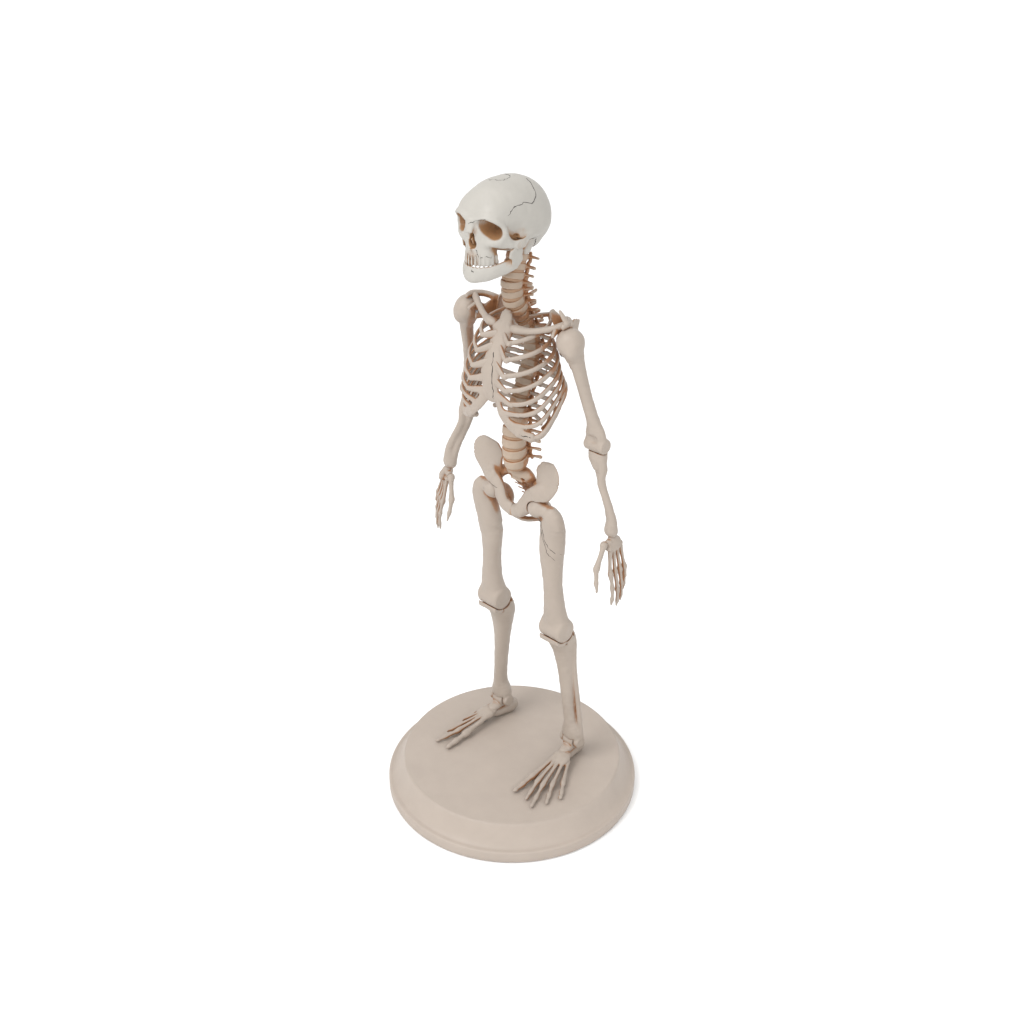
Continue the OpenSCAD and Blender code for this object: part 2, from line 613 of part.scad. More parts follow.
module femur(side) color(BONE) on_side(side) {
    h = hip;
    k = knee;
    difference() {
        union() {
            knob(h, head_r);
            sweep([concat(h, [4.2, 4.2]), concat(h + [5, 0.6, 0.6], [4, 4.2]),
                concat(h + [9.5, 1.4, 0], [4.6, 5])], Z_AXIS, 10, 2);
            sweep([concat(k + [3, -9, 95], [2.6, 2.6]), concat(k + [3, -8.6, 92], [5.5, 5]),
                concat(k + [2.4, -7.6, 85], [8.6, 6.6]), concat(k + [1, -6.2, 77], [9.4, 7.2]),
                concat(k + [-0.8, -4.8, 66], [9.4, 7.5]), concat(k + [-1.8, -3.7, 56], [8.6, 7.2]),
                concat(k + [-1, -3, 35], [6.6, 6.4]), concat(k + [0, -2, 16], [8, 7]),
                concat(k + [0, -0.3, 5], [10, 7.6]), concat(k, [10, 6.8])], X_AXIS, 10, 2);
            cross_bar(k, condyle_r, condyle_w);
        }
        cross_bar(k, condyle_r + 0.8, knee_tongue + 0.6);
        cross_bar(k, big_pin, condyle_w - 5);
        cross_bar([h[0] - 4, h[1], h[2]], big_pin + running, 14);
    }
}

module femur_left() femur(LEFT);
module femur_right() femur(RIGHT);

module knee_pin(side) color(STEEL) on_side(side) cross_bar(knee, big_pin, condyle_w - 5);
module knee_pin_left() knee_pin(LEFT);
module knee_pin_right() knee_pin(RIGHT);

// Crescent under the knee joint, split in the middle for the shin's tongue
module knee_pad(side) color(BONE) on_side(side) difference() {
    intersection() {
        cross_bar(knee, pad_outer, pad_w);
        translate(knee + [-15, -8, -15]) cube([30, 16, 10]);
    }
    cross_bar(knee, condyle_r + gap, 22);
    translate(knee + [-knee_tongue / 2 - 0.1, -20, -20]) cube([knee_tongue + 0.2, 40, 20]);
}

module knee_pad_left() knee_pad(LEFT);
module knee_pad_right() knee_pad(RIGHT);

module tibia(side) color(BONE) on_side(side) {
    k = knee;
    a = ankle;
    difference() {
        union() {
            sweep([concat(k + [0, 2.6, -5], [10, 8]), concat(k + [-0.4, 6.6, -12], [10.4, 9.6]),
                concat(k + [0.4, 8.8, -21], [8.8, 8.6]), concat(k + [1.8, 9.8, -40], [5.8, 6.4]),
                concat(k + [4, 10.6, -66], [4.7, 5.5]), concat(a + [-0.5, -1.4, 18], [5, 5.2]),
                concat(a + [0, 0, 7], [8.4, 6.8]), concat(a + [0, 0, 1], [8.2, 6.2])], X_AXIS, 10, 2);
            sweep([concat(k + [8.4, 9, -15], [2.2, 2.4]), concat(k + [8.2, 11.4, -40], [1.7, 1.9]),
                concat(a + [6, 0.5, 20], [1.9, 2.1]), concat(a + [6.6, 1, 4], [2.3, 3])], X_AXIS, 8, 2);
            cross_bar(a, 4.6, 17);
        }
        cross_bar(k, condyle_r + gap, 40);
        cross_bar(k, pad_outer, pad_w);
        cross_bar(a, mortise_r + gap, talus_w + 1);
        translate(a + [-talus_w / 2 - 0.5, -10, -10]) cube([talus_w + 1, 20, 10]);
        cross_bar(a, small_pin + running, 24);
    }
    difference() {
        union() {
            cross_bar(k, condyle_r - 0.6, knee_tongue);
            translate(k + [-knee_tongue / 2, -6, -13.5]) cube([knee_tongue, 12, 10]);
        }
        cross_bar(k, big_pin + running, 6);
    }
}

module tibia_left() tibia(LEFT);
module tibia_right() tibia(RIGHT);

module ankle_pin(side) color(STEEL) on_side(side) cross_bar(ankle, small_pin, 16);
module ankle_pin_left() ankle_pin(LEFT);
module ankle_pin_right() ankle_pin(RIGHT);

// ---------- Feet ----------

module ankle_bone(side) color(BONE) on_side(side) {
    a = ankle;
    difference() {
        union() {
            cross_bar(a, mortise_r, talus_w);
            sweep([concat(a + [0, 1, -3], [4, 4.4]), concat(a + [0.4, -6, -5], [4, 3.2]),
                concat(a + [1, -10, -6], [3.4, 2.8])], X_AXIS, 10, 2);
        }
        cross_bar(a, small_pin, talus_w + 2);
        translate([0, 0, -60 + ankle[2] - 9]) cube([200, 200, 120], center = true);
    }
}

module ankle_bone_left() ankle_bone(LEFT);
module ankle_bone_right() ankle_bone(RIGHT);

module heel(side) color(BONE) on_side(side) difference() {
    sweep([[36.6, 17, 29.6, 2.6, 2.6], [36.2, 21, 29.6, 3.8, 4], [35.4, 27, 29.8, 4.2, 4.6],
        [34.6, 32, 30.4, 5.2, 5.8], [34.2, 36, 30.6, 4.2, 4.6], [34, 37.6, 30.6, 1.5, 1.5]], X_AXIS, 12, 2);
    translate([0, 0, base_h - 20]) cube([200, 200, 40], center = true);
    translate([heel_at[0], heel_at[1], base_h - 4]) cylinder(r = screw_r, h = 9);
}

module heel_left() heel(LEFT);
module heel_right() heel(RIGHT);

// Toe rays: base at the midfoot, ball and tip
RAYS = [[[34.5, 12, 33], [34.4, -14, 29], [34.4, -33.5, 27], 2.5],
    [[36.8, 11, 33.6], [41, -16, 29], [46, -33.5, 26.6], 1.9],
    [[38.8, 11, 33], [46, -16, 28.6], [54, -36.5, 26.6], 1.8],
    [[41, 12, 32], [50.5, -11, 28.4], [59.2, -26.8, 26.5], 1.8],
    [[43, 14, 30.4], [54.5, -4, 28], [63.2, -16.4, 26.5], 1.8]];

module toe_ray(ray) {
    r = ray[3];
    p = ray[0];
    ball = ray[1];
    tip = ray[2];
    sweep([concat(p, [r, r]), concat(p * 0.6 + ball * 0.4, [r * 0.75, r * 0.75]),
        concat(ball, [r * 1.15, r * 1.1]), concat(ball * 0.65 + tip * 0.35, [r * 0.75, r * 0.75]),
        concat(ball * 0.4 + tip * 0.6, [r * 0.95, r * 0.9]), concat(tip, [r * 0.4, r * 0.4])],
        Z_AXIS, 7, 1);
}

module toes(side) color(BONE) on_side(side) difference() {
    union() {
        sweep([[36.8, 17.6, 33.6, 4, 3], [38.4, 12.5, 32.6, 6.4, 3.8], [38.8, 8, 31.6, 6, 3]], X_AXIS, 10, 2);
        for (ray = RAYS) toe_ray(ray);
        translate([midfoot_at[0], midfoot_at[1], base_h]) cylinder(r = 3, h = 6);
    }
    translate([0, 0, base_h - 20]) cube([200, 200, 40], center = true);
    translate([midfoot_at[0], midfoot_at[1], base_h - 4]) cylinder(r = screw_r, h = 9);
}

module toes_left() toes(LEFT);
module toes_right() toes(RIGHT);

// ---------- Nodes ----------

base_shell();
base_plate();
base_pads();
base_screws();
foot_screws();
spine_rod();
cervical_vertebrae();
thoracic_vertebrae();
lumbar_vertebrae();
spine_discs();
sacrum();
skull();
jaw();
jaw_pins();
sternum();
ribs_left();
ribs_right();
cartilage_left();
cartilage_right();
clavicle_left();
clavicle_right();
scapula_left();
scapula_right();
shoulder_pins();
humerus_left();
humerus_right();
elbow_pin_left();
elbow_pin_right();
forearm_left();
forearm_right();
wrist_peg_left();
wrist_peg_right();
carpals_left();
carpals_right();
fingers_left();
fingers_right();
thumb_left();
thumb_right();
hip_bone_left();
hip_bone_right();
pubic_disc();
hip_pins();
femur_left();
femur_right();
knee_pad_left();
knee_pad_right();
knee_pin_left();
knee_pin_right();
tibia_left();
tibia_right();
ankle_pin_left();
ankle_pin_right();
ankle_bone_left();
ankle_bone_right();
heel_left();
heel_right();
toes_left();
toes_right();
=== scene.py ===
"""Looks of the desk skeleton: every bone is sculpted as a distance field and skinned into a mesh."""

import json
import math

import bpy
import numpy as np
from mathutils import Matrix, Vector
from mathutils.bvhtree import BVHTree


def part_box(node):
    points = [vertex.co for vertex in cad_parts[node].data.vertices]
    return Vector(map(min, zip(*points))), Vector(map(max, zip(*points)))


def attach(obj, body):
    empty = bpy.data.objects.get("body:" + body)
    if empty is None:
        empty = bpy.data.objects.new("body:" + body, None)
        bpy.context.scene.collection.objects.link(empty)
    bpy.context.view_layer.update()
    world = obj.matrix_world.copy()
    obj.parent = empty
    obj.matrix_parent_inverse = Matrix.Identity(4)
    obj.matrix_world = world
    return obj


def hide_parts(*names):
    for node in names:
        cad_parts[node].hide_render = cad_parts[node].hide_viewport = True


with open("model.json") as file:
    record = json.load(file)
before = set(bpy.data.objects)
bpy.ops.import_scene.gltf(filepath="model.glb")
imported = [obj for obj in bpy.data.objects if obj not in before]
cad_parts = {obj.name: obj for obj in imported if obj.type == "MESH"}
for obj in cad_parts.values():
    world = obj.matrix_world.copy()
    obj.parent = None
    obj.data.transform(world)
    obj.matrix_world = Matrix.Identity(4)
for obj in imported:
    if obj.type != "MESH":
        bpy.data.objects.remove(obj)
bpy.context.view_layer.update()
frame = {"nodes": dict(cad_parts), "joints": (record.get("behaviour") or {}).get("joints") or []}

MM = 0.001
LEFT, RIGHT = 1, -1
SIDES = {"left": LEFT, "right": RIGHT}
X_AXIS = (1.0, 0.0, 0.0)
Y_AXIS = (0.0, 1.0, 0.0)
Z_AXIS = (0.0, 0.0, 1.0)


# ---------- Small vector helpers ----------


def vec(*values):
    return np.array(values, float)


def unit(v):
    v = np.asarray(v, float)
    return v / np.linalg.norm(v)


def mirrored(points, side):
    """The left side's points as they are, or their mirror image; only x changes sign."""
    out = np.array(points, float)
    out[..., 0] *= side
    return out


def turn(points, centre, axis, angle):
    """Points turned about a line by an angle in degrees; columns after the third stay."""
    out = np.array(points, float)
    a = unit(axis)
    r = math.radians(angle)
    p = out[..., :3] - centre
    along = (p @ a)[..., None] * a
    out[..., :3] = centre + along + (p - along) * math.cos(r) + np.cross(a, p) * math.sin(r)
    return out


def spline(keys, steps):
    """A smooth curve through the keys (Catmull-Rom), every column interpolated."""
    keys = np.array(keys, float)
    last = len(keys) - 1
    rows = []
    for i in range(last):
        a, b = keys[max(i - 1, 0)], keys[i]
        c, d = keys[i + 1], keys[min(i + 2, last)]
        for j in range(steps):
            t = j / steps
            rows.append(b + 0.5 * t * (c - a + t * (2 * a - 5 * b + 4 * c - d + t * (3 * (b - c) + d - a))))
    rows.append(keys[last])
    return np.array(rows)


def lookup(x, table):
    """Linear interpolation in a list of [x, y] pairs."""
    table = sorted(table)
    return float(np.interp(x, [t[0] for t in table], [t[1] for t in table]))


# ---------- Clay: a solid held as distances on a grid, in millimetres ----------


def smooth_min(a, b, soft):
    if soft <= 0:
        return np.minimum(a, b)
    h = np.clip(0.5 + 0.5 * (b - a) / soft, 0, 1)
    return b + (a - b) * h - soft * h * (1 - h)


class Clay:
    def __init__(self, low, high, voxel=0.6):
        self.voxel = voxel * 1
        self.low = np.array(low, float) - 2 * self.voxel
        size = np.array(high, float) + 2 * self.voxel - self.low
        self.d = np.full(np.ceil(size / self.voxel).astype(int) + 1, 6.0, np.float32)

    def block(self, low, high):
        """The part of the grid that covers a box, with its points' coordinates."""
        a = np.floor((np.asarray(low) - self.low) / self.voxel).astype(int)
        b = np.ceil((np.asarray(high) - self.low) / self.voxel).astype(int) + 1
        a = np.clip(a, 0, self.d.shape)
        b = np.clip(b, 0, self.d.shape)
        spot = tuple(slice(a[k], b[k]) for k in range(3))
        axes = [self.low[k] + self.voxel * np.arange(a[k], b[k]) for k in range(3)]
        grid = np.meshgrid(*axes, indexing="ij", sparse=True)
        return spot, [g.astype(np.float32) for g in grid]

    def put(self, spot, field, soft=1.0, cut=False):
        """Adds a field to the clay, or cuts it away, with a fillet about as wide as soft."""
        here = self.d[spot]
        if cut:
            self.d[spot] = -smooth_min(-here, field, soft)
        else:
            self.d[spot] = smooth_min(here, field, soft)

    def blob(self, centre, radii, soft=1.5, cut=False, tilt=None):
        """An ellipsoid; tilt is an axis and an angle in degrees."""
        centre = np.array(centre, float)
        radii = np.array(radii, float)
        reach = max(radii) if tilt else radii
        spot, (x, y, z) = self.block(centre - reach - soft - 2, centre + reach + soft + 2)
        if self.d[spot].size == 0:
            return
        p = [x - centre[0], y - centre[1], z - centre[2]]
        if tilt:
            rows = turn(np.eye(3), vec(0, 0, 0), tilt[0], tilt[1])
            p = [p[0] * rows[k][0] + p[1] * rows[k][1] + p[2] * rows[k][2] for k in range(3)]
        k0 = np.sqrt(sum((p[k] / radii[k]) ** 2 for k in range(3))) + 1e-6
        k1 = np.sqrt(sum((p[k] / radii[k] ** 2) ** 2 for k in range(3))) + 1e-6
        self.put(spot, k0 * (k0 - 1) / k1, soft, cut)

    def limb(self, keys, across=X_AXIS, soft=1.0, cut=False, steps=4):
        """A tube through keys of (x, y, z, half width, half depth); across is the width's direction."""
        rows = spline(keys, steps)
        if rows.shape[1] == 4:
            rows = np.column_stack([rows, rows[:, 3]])
        rows[:, 3:] = np.maximum(rows[:, 3:], 0.15)
        most = rows[:, 3:].max(1)[:, None]
        margin = soft + 2
        spot, _ = self.block((rows[:, :3] - most).min(0) - margin, (rows[:, :3] + most).max(0) + margin)
        if self.d[spot].size == 0:
            return
        field = np.full(self.d[spot].shape, 6.0, np.float32)
        start = [s.start for s in spot]
        for a, b in zip(rows[:-1], rows[1:]):
            self._segment(field, start, a, b, np.asarray(across, float), margin)
        self.put(spot, field, soft, cut)

    def _segment(self, field, start, a, b, across, margin):
        along = b[:3] - a[:3]
        length = np.linalg.norm(along)
        if length < 1e-6:
            return
        along = along / length
        depth = np.cross(along, across)
        if np.linalg.norm(depth) < 1e-3:
            depth = np.cross(along, Y_AXIS if abs(along[1]) < 0.9 else X_AXIS)
        depth = unit(depth)
        width = np.cross(depth, along)
        most = max(a[3:].max(), b[3:].max()) + margin
        low = np.minimum(a[:3], b[:3]) - most
        high = np.maximum(a[:3], b[:3]) + most
        spot, (x, y, z) = self.block(low, high)
        local = tuple(slice(max(s.start - o, 0), s.stop - o) for s, o in zip(spot, start))
        if any(s.stop <= s.start for s in local) or field[local].size == 0:
            return
        if field[local].shape != (x.shape[0], y.shape[1], z.shape[2]):
            keep = [min(n, m) for n, m in zip(field[local].shape, (x.shape[0], y.shape[1], z.shape[2]))]
            x, y, z = x[-keep[0]:], y[:, -keep[1]:], z[:, :, -keep[2]:]
            local = tuple(slice(s.start, s.start + k) for s, k in zip(local, keep))
        px, py, pz = x - a[0], y - a[1], z - a[2]
        s = px * along[0] + py * along[1] + pz * along[2]
        t = np.clip(s / length, 0, 1)
        u = px * width[0] + py * width[1] + pz * width[2]
        v = px * depth[0] + py * depth[1] + pz * depth[2]
        w = s - t * length
        ru = a[3] + (b[3] - a[3]) * t
        rv = a[4] + (b[4] - a[4]) * t
        rw = np.minimum(ru, rv)
        k0 = np.sqrt((u / ru) ** 2 + (v / rv) ** 2 + (w / rw) ** 2) + 1e-6
        k1 = np.sqrt((u / ru**2) ** 2 + (v / rv**2) ** 2 + (w / rw**2) ** 2) + 1e-6
        field[local] = np.minimum(field[local], k0 * (k0 - 1) / k1)

    def slab(self, centre, normal, soft=0.6, low=None, high=None):
        """Cuts away everything on the side of a plane that its normal points to."""
        full = self.low, self.low + self.voxel * np.array(self.d.shape)
        spot, (x, y, z) = self.block(full[0] if low is None else low, full[1] if high is None else high)
        n = unit(normal)
        field = -((x - centre[0]) * n[0] + (y - centre[1]) * n[1] + (z - centre[2]) * n[2])
        self.put(spot, field.astype(np.float32), soft, True)

    def drill(self, centre, axis, radius, reach, soft=0.3):
        """Cuts a round bore along an axis, reach to each side of its centre."""
        a = unit(axis)
        c = np.asarray(centre, float)
        box = np.abs(a) * reach + radius + 2
        spot, (x, y, z) = self.block(c - box, c + box)
        if self.d[spot].size == 0:
            return
        px, py, pz = x - c[0], y - c[1], z - c[2]
        s = px * a[0] + py * a[1] + pz * a[2]
        r = np.sqrt(np.maximum(px**2 + py**2 + pz**2 - s**2, 0))
        self.put(spot, np.maximum(r - radius, np.abs(s) - reach).astype(np.float32), soft, True)

    def drum(self, centre, axis, radius, half, soft=1.0, edge=0.8):
        """Adds a round drum with softened edges."""
        a = unit(axis)
        c = np.asarray(centre, float)
        box = np.abs(a) * half + radius + soft + 2
        spot, (x, y, z) = self.block(c - box, c + box)
        if self.d[spot].size == 0:
            return
        px, py, pz = x - c[0], y - c[1], z - c[2]
        s = px * a[0] + py * a[1] + pz * a[2]
        r = np.sqrt(np.maximum(px**2 + py**2 + pz**2 - s**2, 0)) - (radius - edge)
        s = np.abs(s) - (half - edge)
        outside = np.sqrt(np.maximum(r, 0) ** 2 + np.maximum(s, 0) ** 2)
        field = outside + np.minimum(np.maximum(r, s), 0) - edge
        self.put(spot, field.astype(np.float32), soft)

    def at(self, points):
        """The distance at any points, by linear interpolation."""
        q = (points - self.low) / self.voxel
        q = np.clip(q, 0, np.array(self.d.shape) - 1.001)
        i = q.astype(int)
        f = q - i
        total = np.zeros(len(points))
        for corner in np.ndindex(2, 2, 2):
            weight = np.prod(np.where(corner, f, 1 - f), axis=1)
            total += weight * self.d[i[:, 0] + corner[0], i[:, 1] + corner[1], i[:, 2] + corner[2]]
        return total

    def slope(self, points):
        step = self.voxel
        out = np.empty((len(points), 3))
        for k in range(3):
            shift = np.zeros(3)
            shift[k] = step
            out[:, k] = self.at(points + shift) - self.at(points - shift)
        return out / (np.linalg.norm(out, axis=1)[:, None] + 1e-9)

    def skin(self):
        """Vertices and quads of the surface, by surface nets."""
        d = self.d
        solid = d < 0
        cells = np.array(d.shape) - 1
        count = np.zeros(cells, np.int8)
        for c in np.ndindex(2, 2, 2):
            count += solid[c[0]:c[0] + cells[0], c[1]:c[1] + cells[1], c[2]:c[2] + cells[2]]
        where = np.argwhere((count > 0) & (count < 8))
        number = np.full(cells, -1, np.int64)
        number[tuple(where.T)] = np.arange(len(where))
        total = np.zeros((len(where), 3))
        hits = np.zeros(len(where))
        for axis in range(3):
            for c in np.ndindex(2, 2):
                a = np.insert(np.array(c), axis, 0)
                b = a.copy()
                b[axis] = 1
                da = d[tuple((where + a).T)]
                db = d[tuple((where + b).T)]
                cross = (da < 0) != (db < 0)
                t = np.where(cross, da / np.where(cross, da - db, 1), 0)
                total += cross[:, None] * (a + t[:, None] * (b - a))
                hits += cross
        points = self.low + self.voxel * (where + total / hits[:, None])
        quads = []
        for axis in range(3):
            one, two = (axis + 1) % 3, (axis + 2) % 3
            near = [slice(0, n) for n in d.shape]
            far = [slice(0, n) for n in d.shape]
            near[axis] = slice(0, d.shape[axis] - 1)
            far[axis] = slice(1, d.shape[axis])
            flip = solid[tuple(near)] != solid[tuple(far)]
            edge = np.argwhere(flip)
            edge = edge[(edge[:, one] > 0) & (edge[:, two] > 0)]
            edge = edge[(edge[:, one] < d.shape[one] - 1) & (edge[:, two] < d.shape[two] - 1)]
            e1 = np.eye(3, dtype=int)[one]
            e2 = np.eye(3, dtype=int)[two]
            ring = [number[tuple((edge - s).T)] for s in (0 * e1, e1, e1 + e2, e2)]
            quad = np.stack(ring, 1)
            inward = solid[tuple(edge.T)]
            quad[~inward] = quad[~inward][:, ::-1]
            quads.append(quad)
        return points, np.concatenate(quads)


# ---------- From clay to pieces ----------

SCULPTED = []
PIECE_BODY = {}


def lumps(points, size, seed):
    """Soft unevenness of a moulding, about one part in [-1, 1]."""
    rng = np.random.default_rng(seed)
    total = np.zeros(len(points))
    for _ in range(9):
        way = unit(rng.normal(size=3)) * 2 * math.pi / (size * rng.uniform(0.6, 1.6))
        total += np.sin(points @ way + rng.uniform(0, 2 * math.pi))
    return total / 3.6


def recess_shade_amount(clay, points, normals):
    """How far the surface lies in a recess, the mask for painted shade: 0 in the open, towards 1 far
    inside.
    """
    shut = np.zeros(len(points))
    reaches = (1.0, 2.2, 4.5, 8.0)
    for reach in reaches:
        shut += np.clip(1 - clay.at(points + normals * reach) / min(reach, 5.5), 0, 1.6)
    return np.clip(shut / len(reaches), 0, 1)


def mesh_from(name, points, faces, corners):
    mesh = bpy.data.meshes.new(name)
    mesh.vertices.add(len(points))
    mesh.vertices.foreach_set("co", (points * MM).astype(np.float32).ravel())
    mesh.loops.add(faces.size)
    mesh.loops.foreach_set("vertex_index", faces.astype(np.int32).ravel())
    mesh.polygons.add(len(faces))
    mesh.polygons.foreach_set("loop_start", np.arange(0, faces.size, corners, dtype=np.int32))
    mesh.update(calc_edges=True)
    mesh.shade_smooth()
    obj = bpy.data.objects.new(name, mesh)
    bpy.context.scene.collection.objects.link(obj)
    return obj


def paint(obj, name, values):
    field = obj.data.attributes.new(name, "FLOAT", "POINT")
    field.data.foreach_set("value", values.astype(np.float32))


def finish_piece(obj, body, material, nodes):
    obj.data.materials.append(material)
    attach(obj, body)
    if nodes:
        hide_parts(*nodes)
    return obj


def sculpt(name, clay, body, nodes, material, rough=0.1, seed=1):
    """Skins the clay and puts the piece in its place."""
    points, quads = clay.skin()
    normals = clay.slope(points)
    points = points - normals * clay.at(points)[:, None] * 0.7
    # Painted shade: each point's recess depth, kept as a point attribute that darkens the colour
    hollow = recess_shade_amount(clay, points, normals)
    points = points + normals * (lumps(points, 6, seed) * rough)[:, None]
    obj = mesh_from(name, points, quads, 4)
    paint(obj, "hollow", hollow)
    SCULPTED.append((obj, points, normals))
    PIECE_BODY[obj.name] = body
    return finish_piece(obj, body, material, nodes)


# ---------- Materials ----------


def shader(name):
    material = bpy.data.materials.new(name)
    material.use_nodes = True
    tree = material.node_tree
    return material, tree, tree.nodes["Principled BSDF"]


def add_node(tree, kind, **settings):
    node = tree.nodes.new(kind)
    for key, value in settings.items():
        if key in node.inputs.keys():
            node.inputs[key].default_value = value
        else:
            setattr(node, key, value)
    return node


def noise(tree, scale, detail=3.0, rough=0.55):
    """A noise texture in the object's own coordinates; scale is waves per metre."""
    place = add_node(tree, "ShaderNodeTexCoord")
    node = add_node(tree, "ShaderNodeTexNoise", Scale=scale, Detail=detail, Roughness=rough)
    tree.links.new(place.outputs["Object"], node.inputs["Vector"])
    return node.outputs["Fac"]


def ramp(tree, source, stops):
    """A colour ramp with [position, colour] stops."""
    node = add_node(tree, "ShaderNodeValToRGB")
    bands = node.color_ramp.elements
    while len(bands) < len(stops):
        bands.new(0.5)
    for band, (place, colour) in zip(bands, stops):
        band.position = place
        band.color = (*colour, 1)
    tree.links.new(source, node.inputs["Fac"])
    return node.outputs["Color"]


def mix(tree, kind, share, a, b):
    """Two colours mixed; share is a socket or a number."""
    node = add_node(tree, "ShaderNodeMix", data_type="RGBA", blend_type=kind)
    for socket, value in ((node.inputs[0], share), (node.inputs[6], a), (node.inputs[7], b)):
        if isinstance(value, bpy.types.NodeSocket):
            tree.links.new(value, socket)
        elif isinstance(value, tuple):
            socket.default_value = (*value, 1)
        else:
            socket.default_value = value
    return node.outputs[2]


def bump(tree, base, height, strength, distance):
    node = add_node(tree, "ShaderNodeBump", Strength=strength, Distance=distance)
    tree.links.new(height, node.inputs["Height"])
    tree.links.new(node.outputs["Normal"], base.inputs["Normal"])
    return node


def moulded(name, pale, shade_colour, roughness, grain=0.12, mottle=0.05):
    """Moulded plastic: its own pale colour, turning to painted shade in recesses and where neighbouring
    pieces stand close, with faint mottling and a fine grain.
    """
    material, tree, base = shader(name)
    # Painted shade: the piece's own recess depth plus the closeness of neighbouring pieces sets how far the
    # colour turns from pale to the shade colour
    recess = add_node(tree, "ShaderNodeAttribute", attribute_name="hollow")
    near = add_node(tree, "ShaderNodeAttribute", attribute_name="shade")
    shade_sum = add_node(tree, "ShaderNodeMath", operation="ADD", use_clamp=True)
    tree.links.new(recess.outputs["Fac"], shade_sum.inputs[0])
    tree.links.new(near.outputs["Fac"], shade_sum.inputs[1])
    half_shade_colour = tuple((a * 0.62 + b * 0.38) for a, b in zip(pale, shade_colour))
    tone = ramp(tree, shade_sum.outputs[0], [(0.0, pale), (0.2, pale), (0.5, half_shade_colour), (0.85, shade_colour)])
    cloud = ramp(tree, noise(tree, 60, 4), [(0.3, (1 - mottle,) * 3), (0.7, (1 + mottle * 0.2,) * 3)])
    colour = mix(tree, "MULTIPLY", 1.0, tone, cloud)
    tree.links.new(colour, base.inputs["Base Color"])
    shine = add_node(tree, "ShaderNodeMapRange")
    shine.inputs["To Min"].default_value = roughness - 0.07
    shine.inputs["To Max"].default_value = roughness + 0.08
    tree.links.new(noise(tree, 400, 3), shine.inputs["Value"])
    tree.links.new(shine.outputs["Result"], base.inputs["Roughness"])
    bump(tree, base, noise(tree, 1800, 4), grain, 0.0002)
    base.inputs["Specular IOR Level"].default_value = 0.35
    return material


def steel(name):
    material, tree, base = shader(name)
    tone = ramp(tree, noise(tree, 900), [(0.3, (0.42, 0.43, 0.45)), (0.7, (0.6, 0.61, 0.62))])
    tree.links.new(tone, base.inputs["Base Color"])
    base.inputs["Metallic"].default_value = 1
    base.inputs["Roughness"].default_value = 0.34
    bump(tree, base, noise(tree, 3000), 0.15, 0.0001)
    return material


def rubber(name):
    material, tree, base = shader(name)
    tone = ramp(tree, noise(tree, 700), [(0.3, (0.018, 0.017, 0.016)), (0.7, (0.035, 0.033, 0.031))])
    tree.links.new(tone, base.inputs["Base Color"])
    base.inputs["Roughness"].default_value = 0.8
    bump(tree, base, noise(tree, 2600), 0.3, 0.0002)
    return material


def ink(name):
    """The dark of the cracks and seams."""
    material, tree, base = shader(name)
    tone = ramp(tree, noise(tree, 900), [(0.3, (0.008, 0.007, 0.006)), (0.75, (0.03, 0.025, 0.02))])
    tree.links.new(tone, base.inputs["Base Color"])
    base.inputs["Roughness"].default_value = 0.9
    return material


# The first colour is each plastic's own; the second is the colour of its painted shade in recesses and next
# to neighbouring pieces
BONE = moulded("bone_plastic", (0.346, 0.292, 0.246), (0.29, 0.14, 0.065), 0.5)
# A warmer copy of the bone colour for the spine pieces: painted warm shade, as it falls inside the chest
# and the neck
SHADED_SPINE = moulded("inner_plastic", (0.365, 0.283, 0.215), (0.31, 0.14, 0.06), 0.52)
SKULL = moulded("skull_plastic", (0.385, 0.366, 0.333), (0.3, 0.165, 0.08), 0.5)
AMBER = moulded("disc_plastic", (0.33, 0.21, 0.13), (0.25, 0.12, 0.05), 0.55)
STAND = moulded("stand_plastic", (0.385, 0.327, 0.28), (0.32, 0.24, 0.18), 0.5)
STEEL = steel("steel")
RUBBER = rubber("pad_rubber")
INK = ink("crack_dark")


# ---------- Places that come from the frame ----------

JOINTS = {j["name"]: vec(*j["pos_m"]) / MM for j in frame["joints"]}
SHOULDER = JOINTS["shoulder_left_swing"]
HIP = JOINTS["hip_left_bend"]
KNEE = JOINTS["knee_left_bend"]
ANKLE = JOINTS["ankle_left_bend"]
JAW = JOINTS["jaw_open"]
NECK_Y = JOINTS["skull_turn"][1]


def corners(node):
    low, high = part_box(node)
    return np.array(low) / MM, np.array(high) / MM


SKULL_TOP = corners("skull")[1][2]
BASE_TOP = corners("base_shell")[1][2]


# ---------- Skull ----------


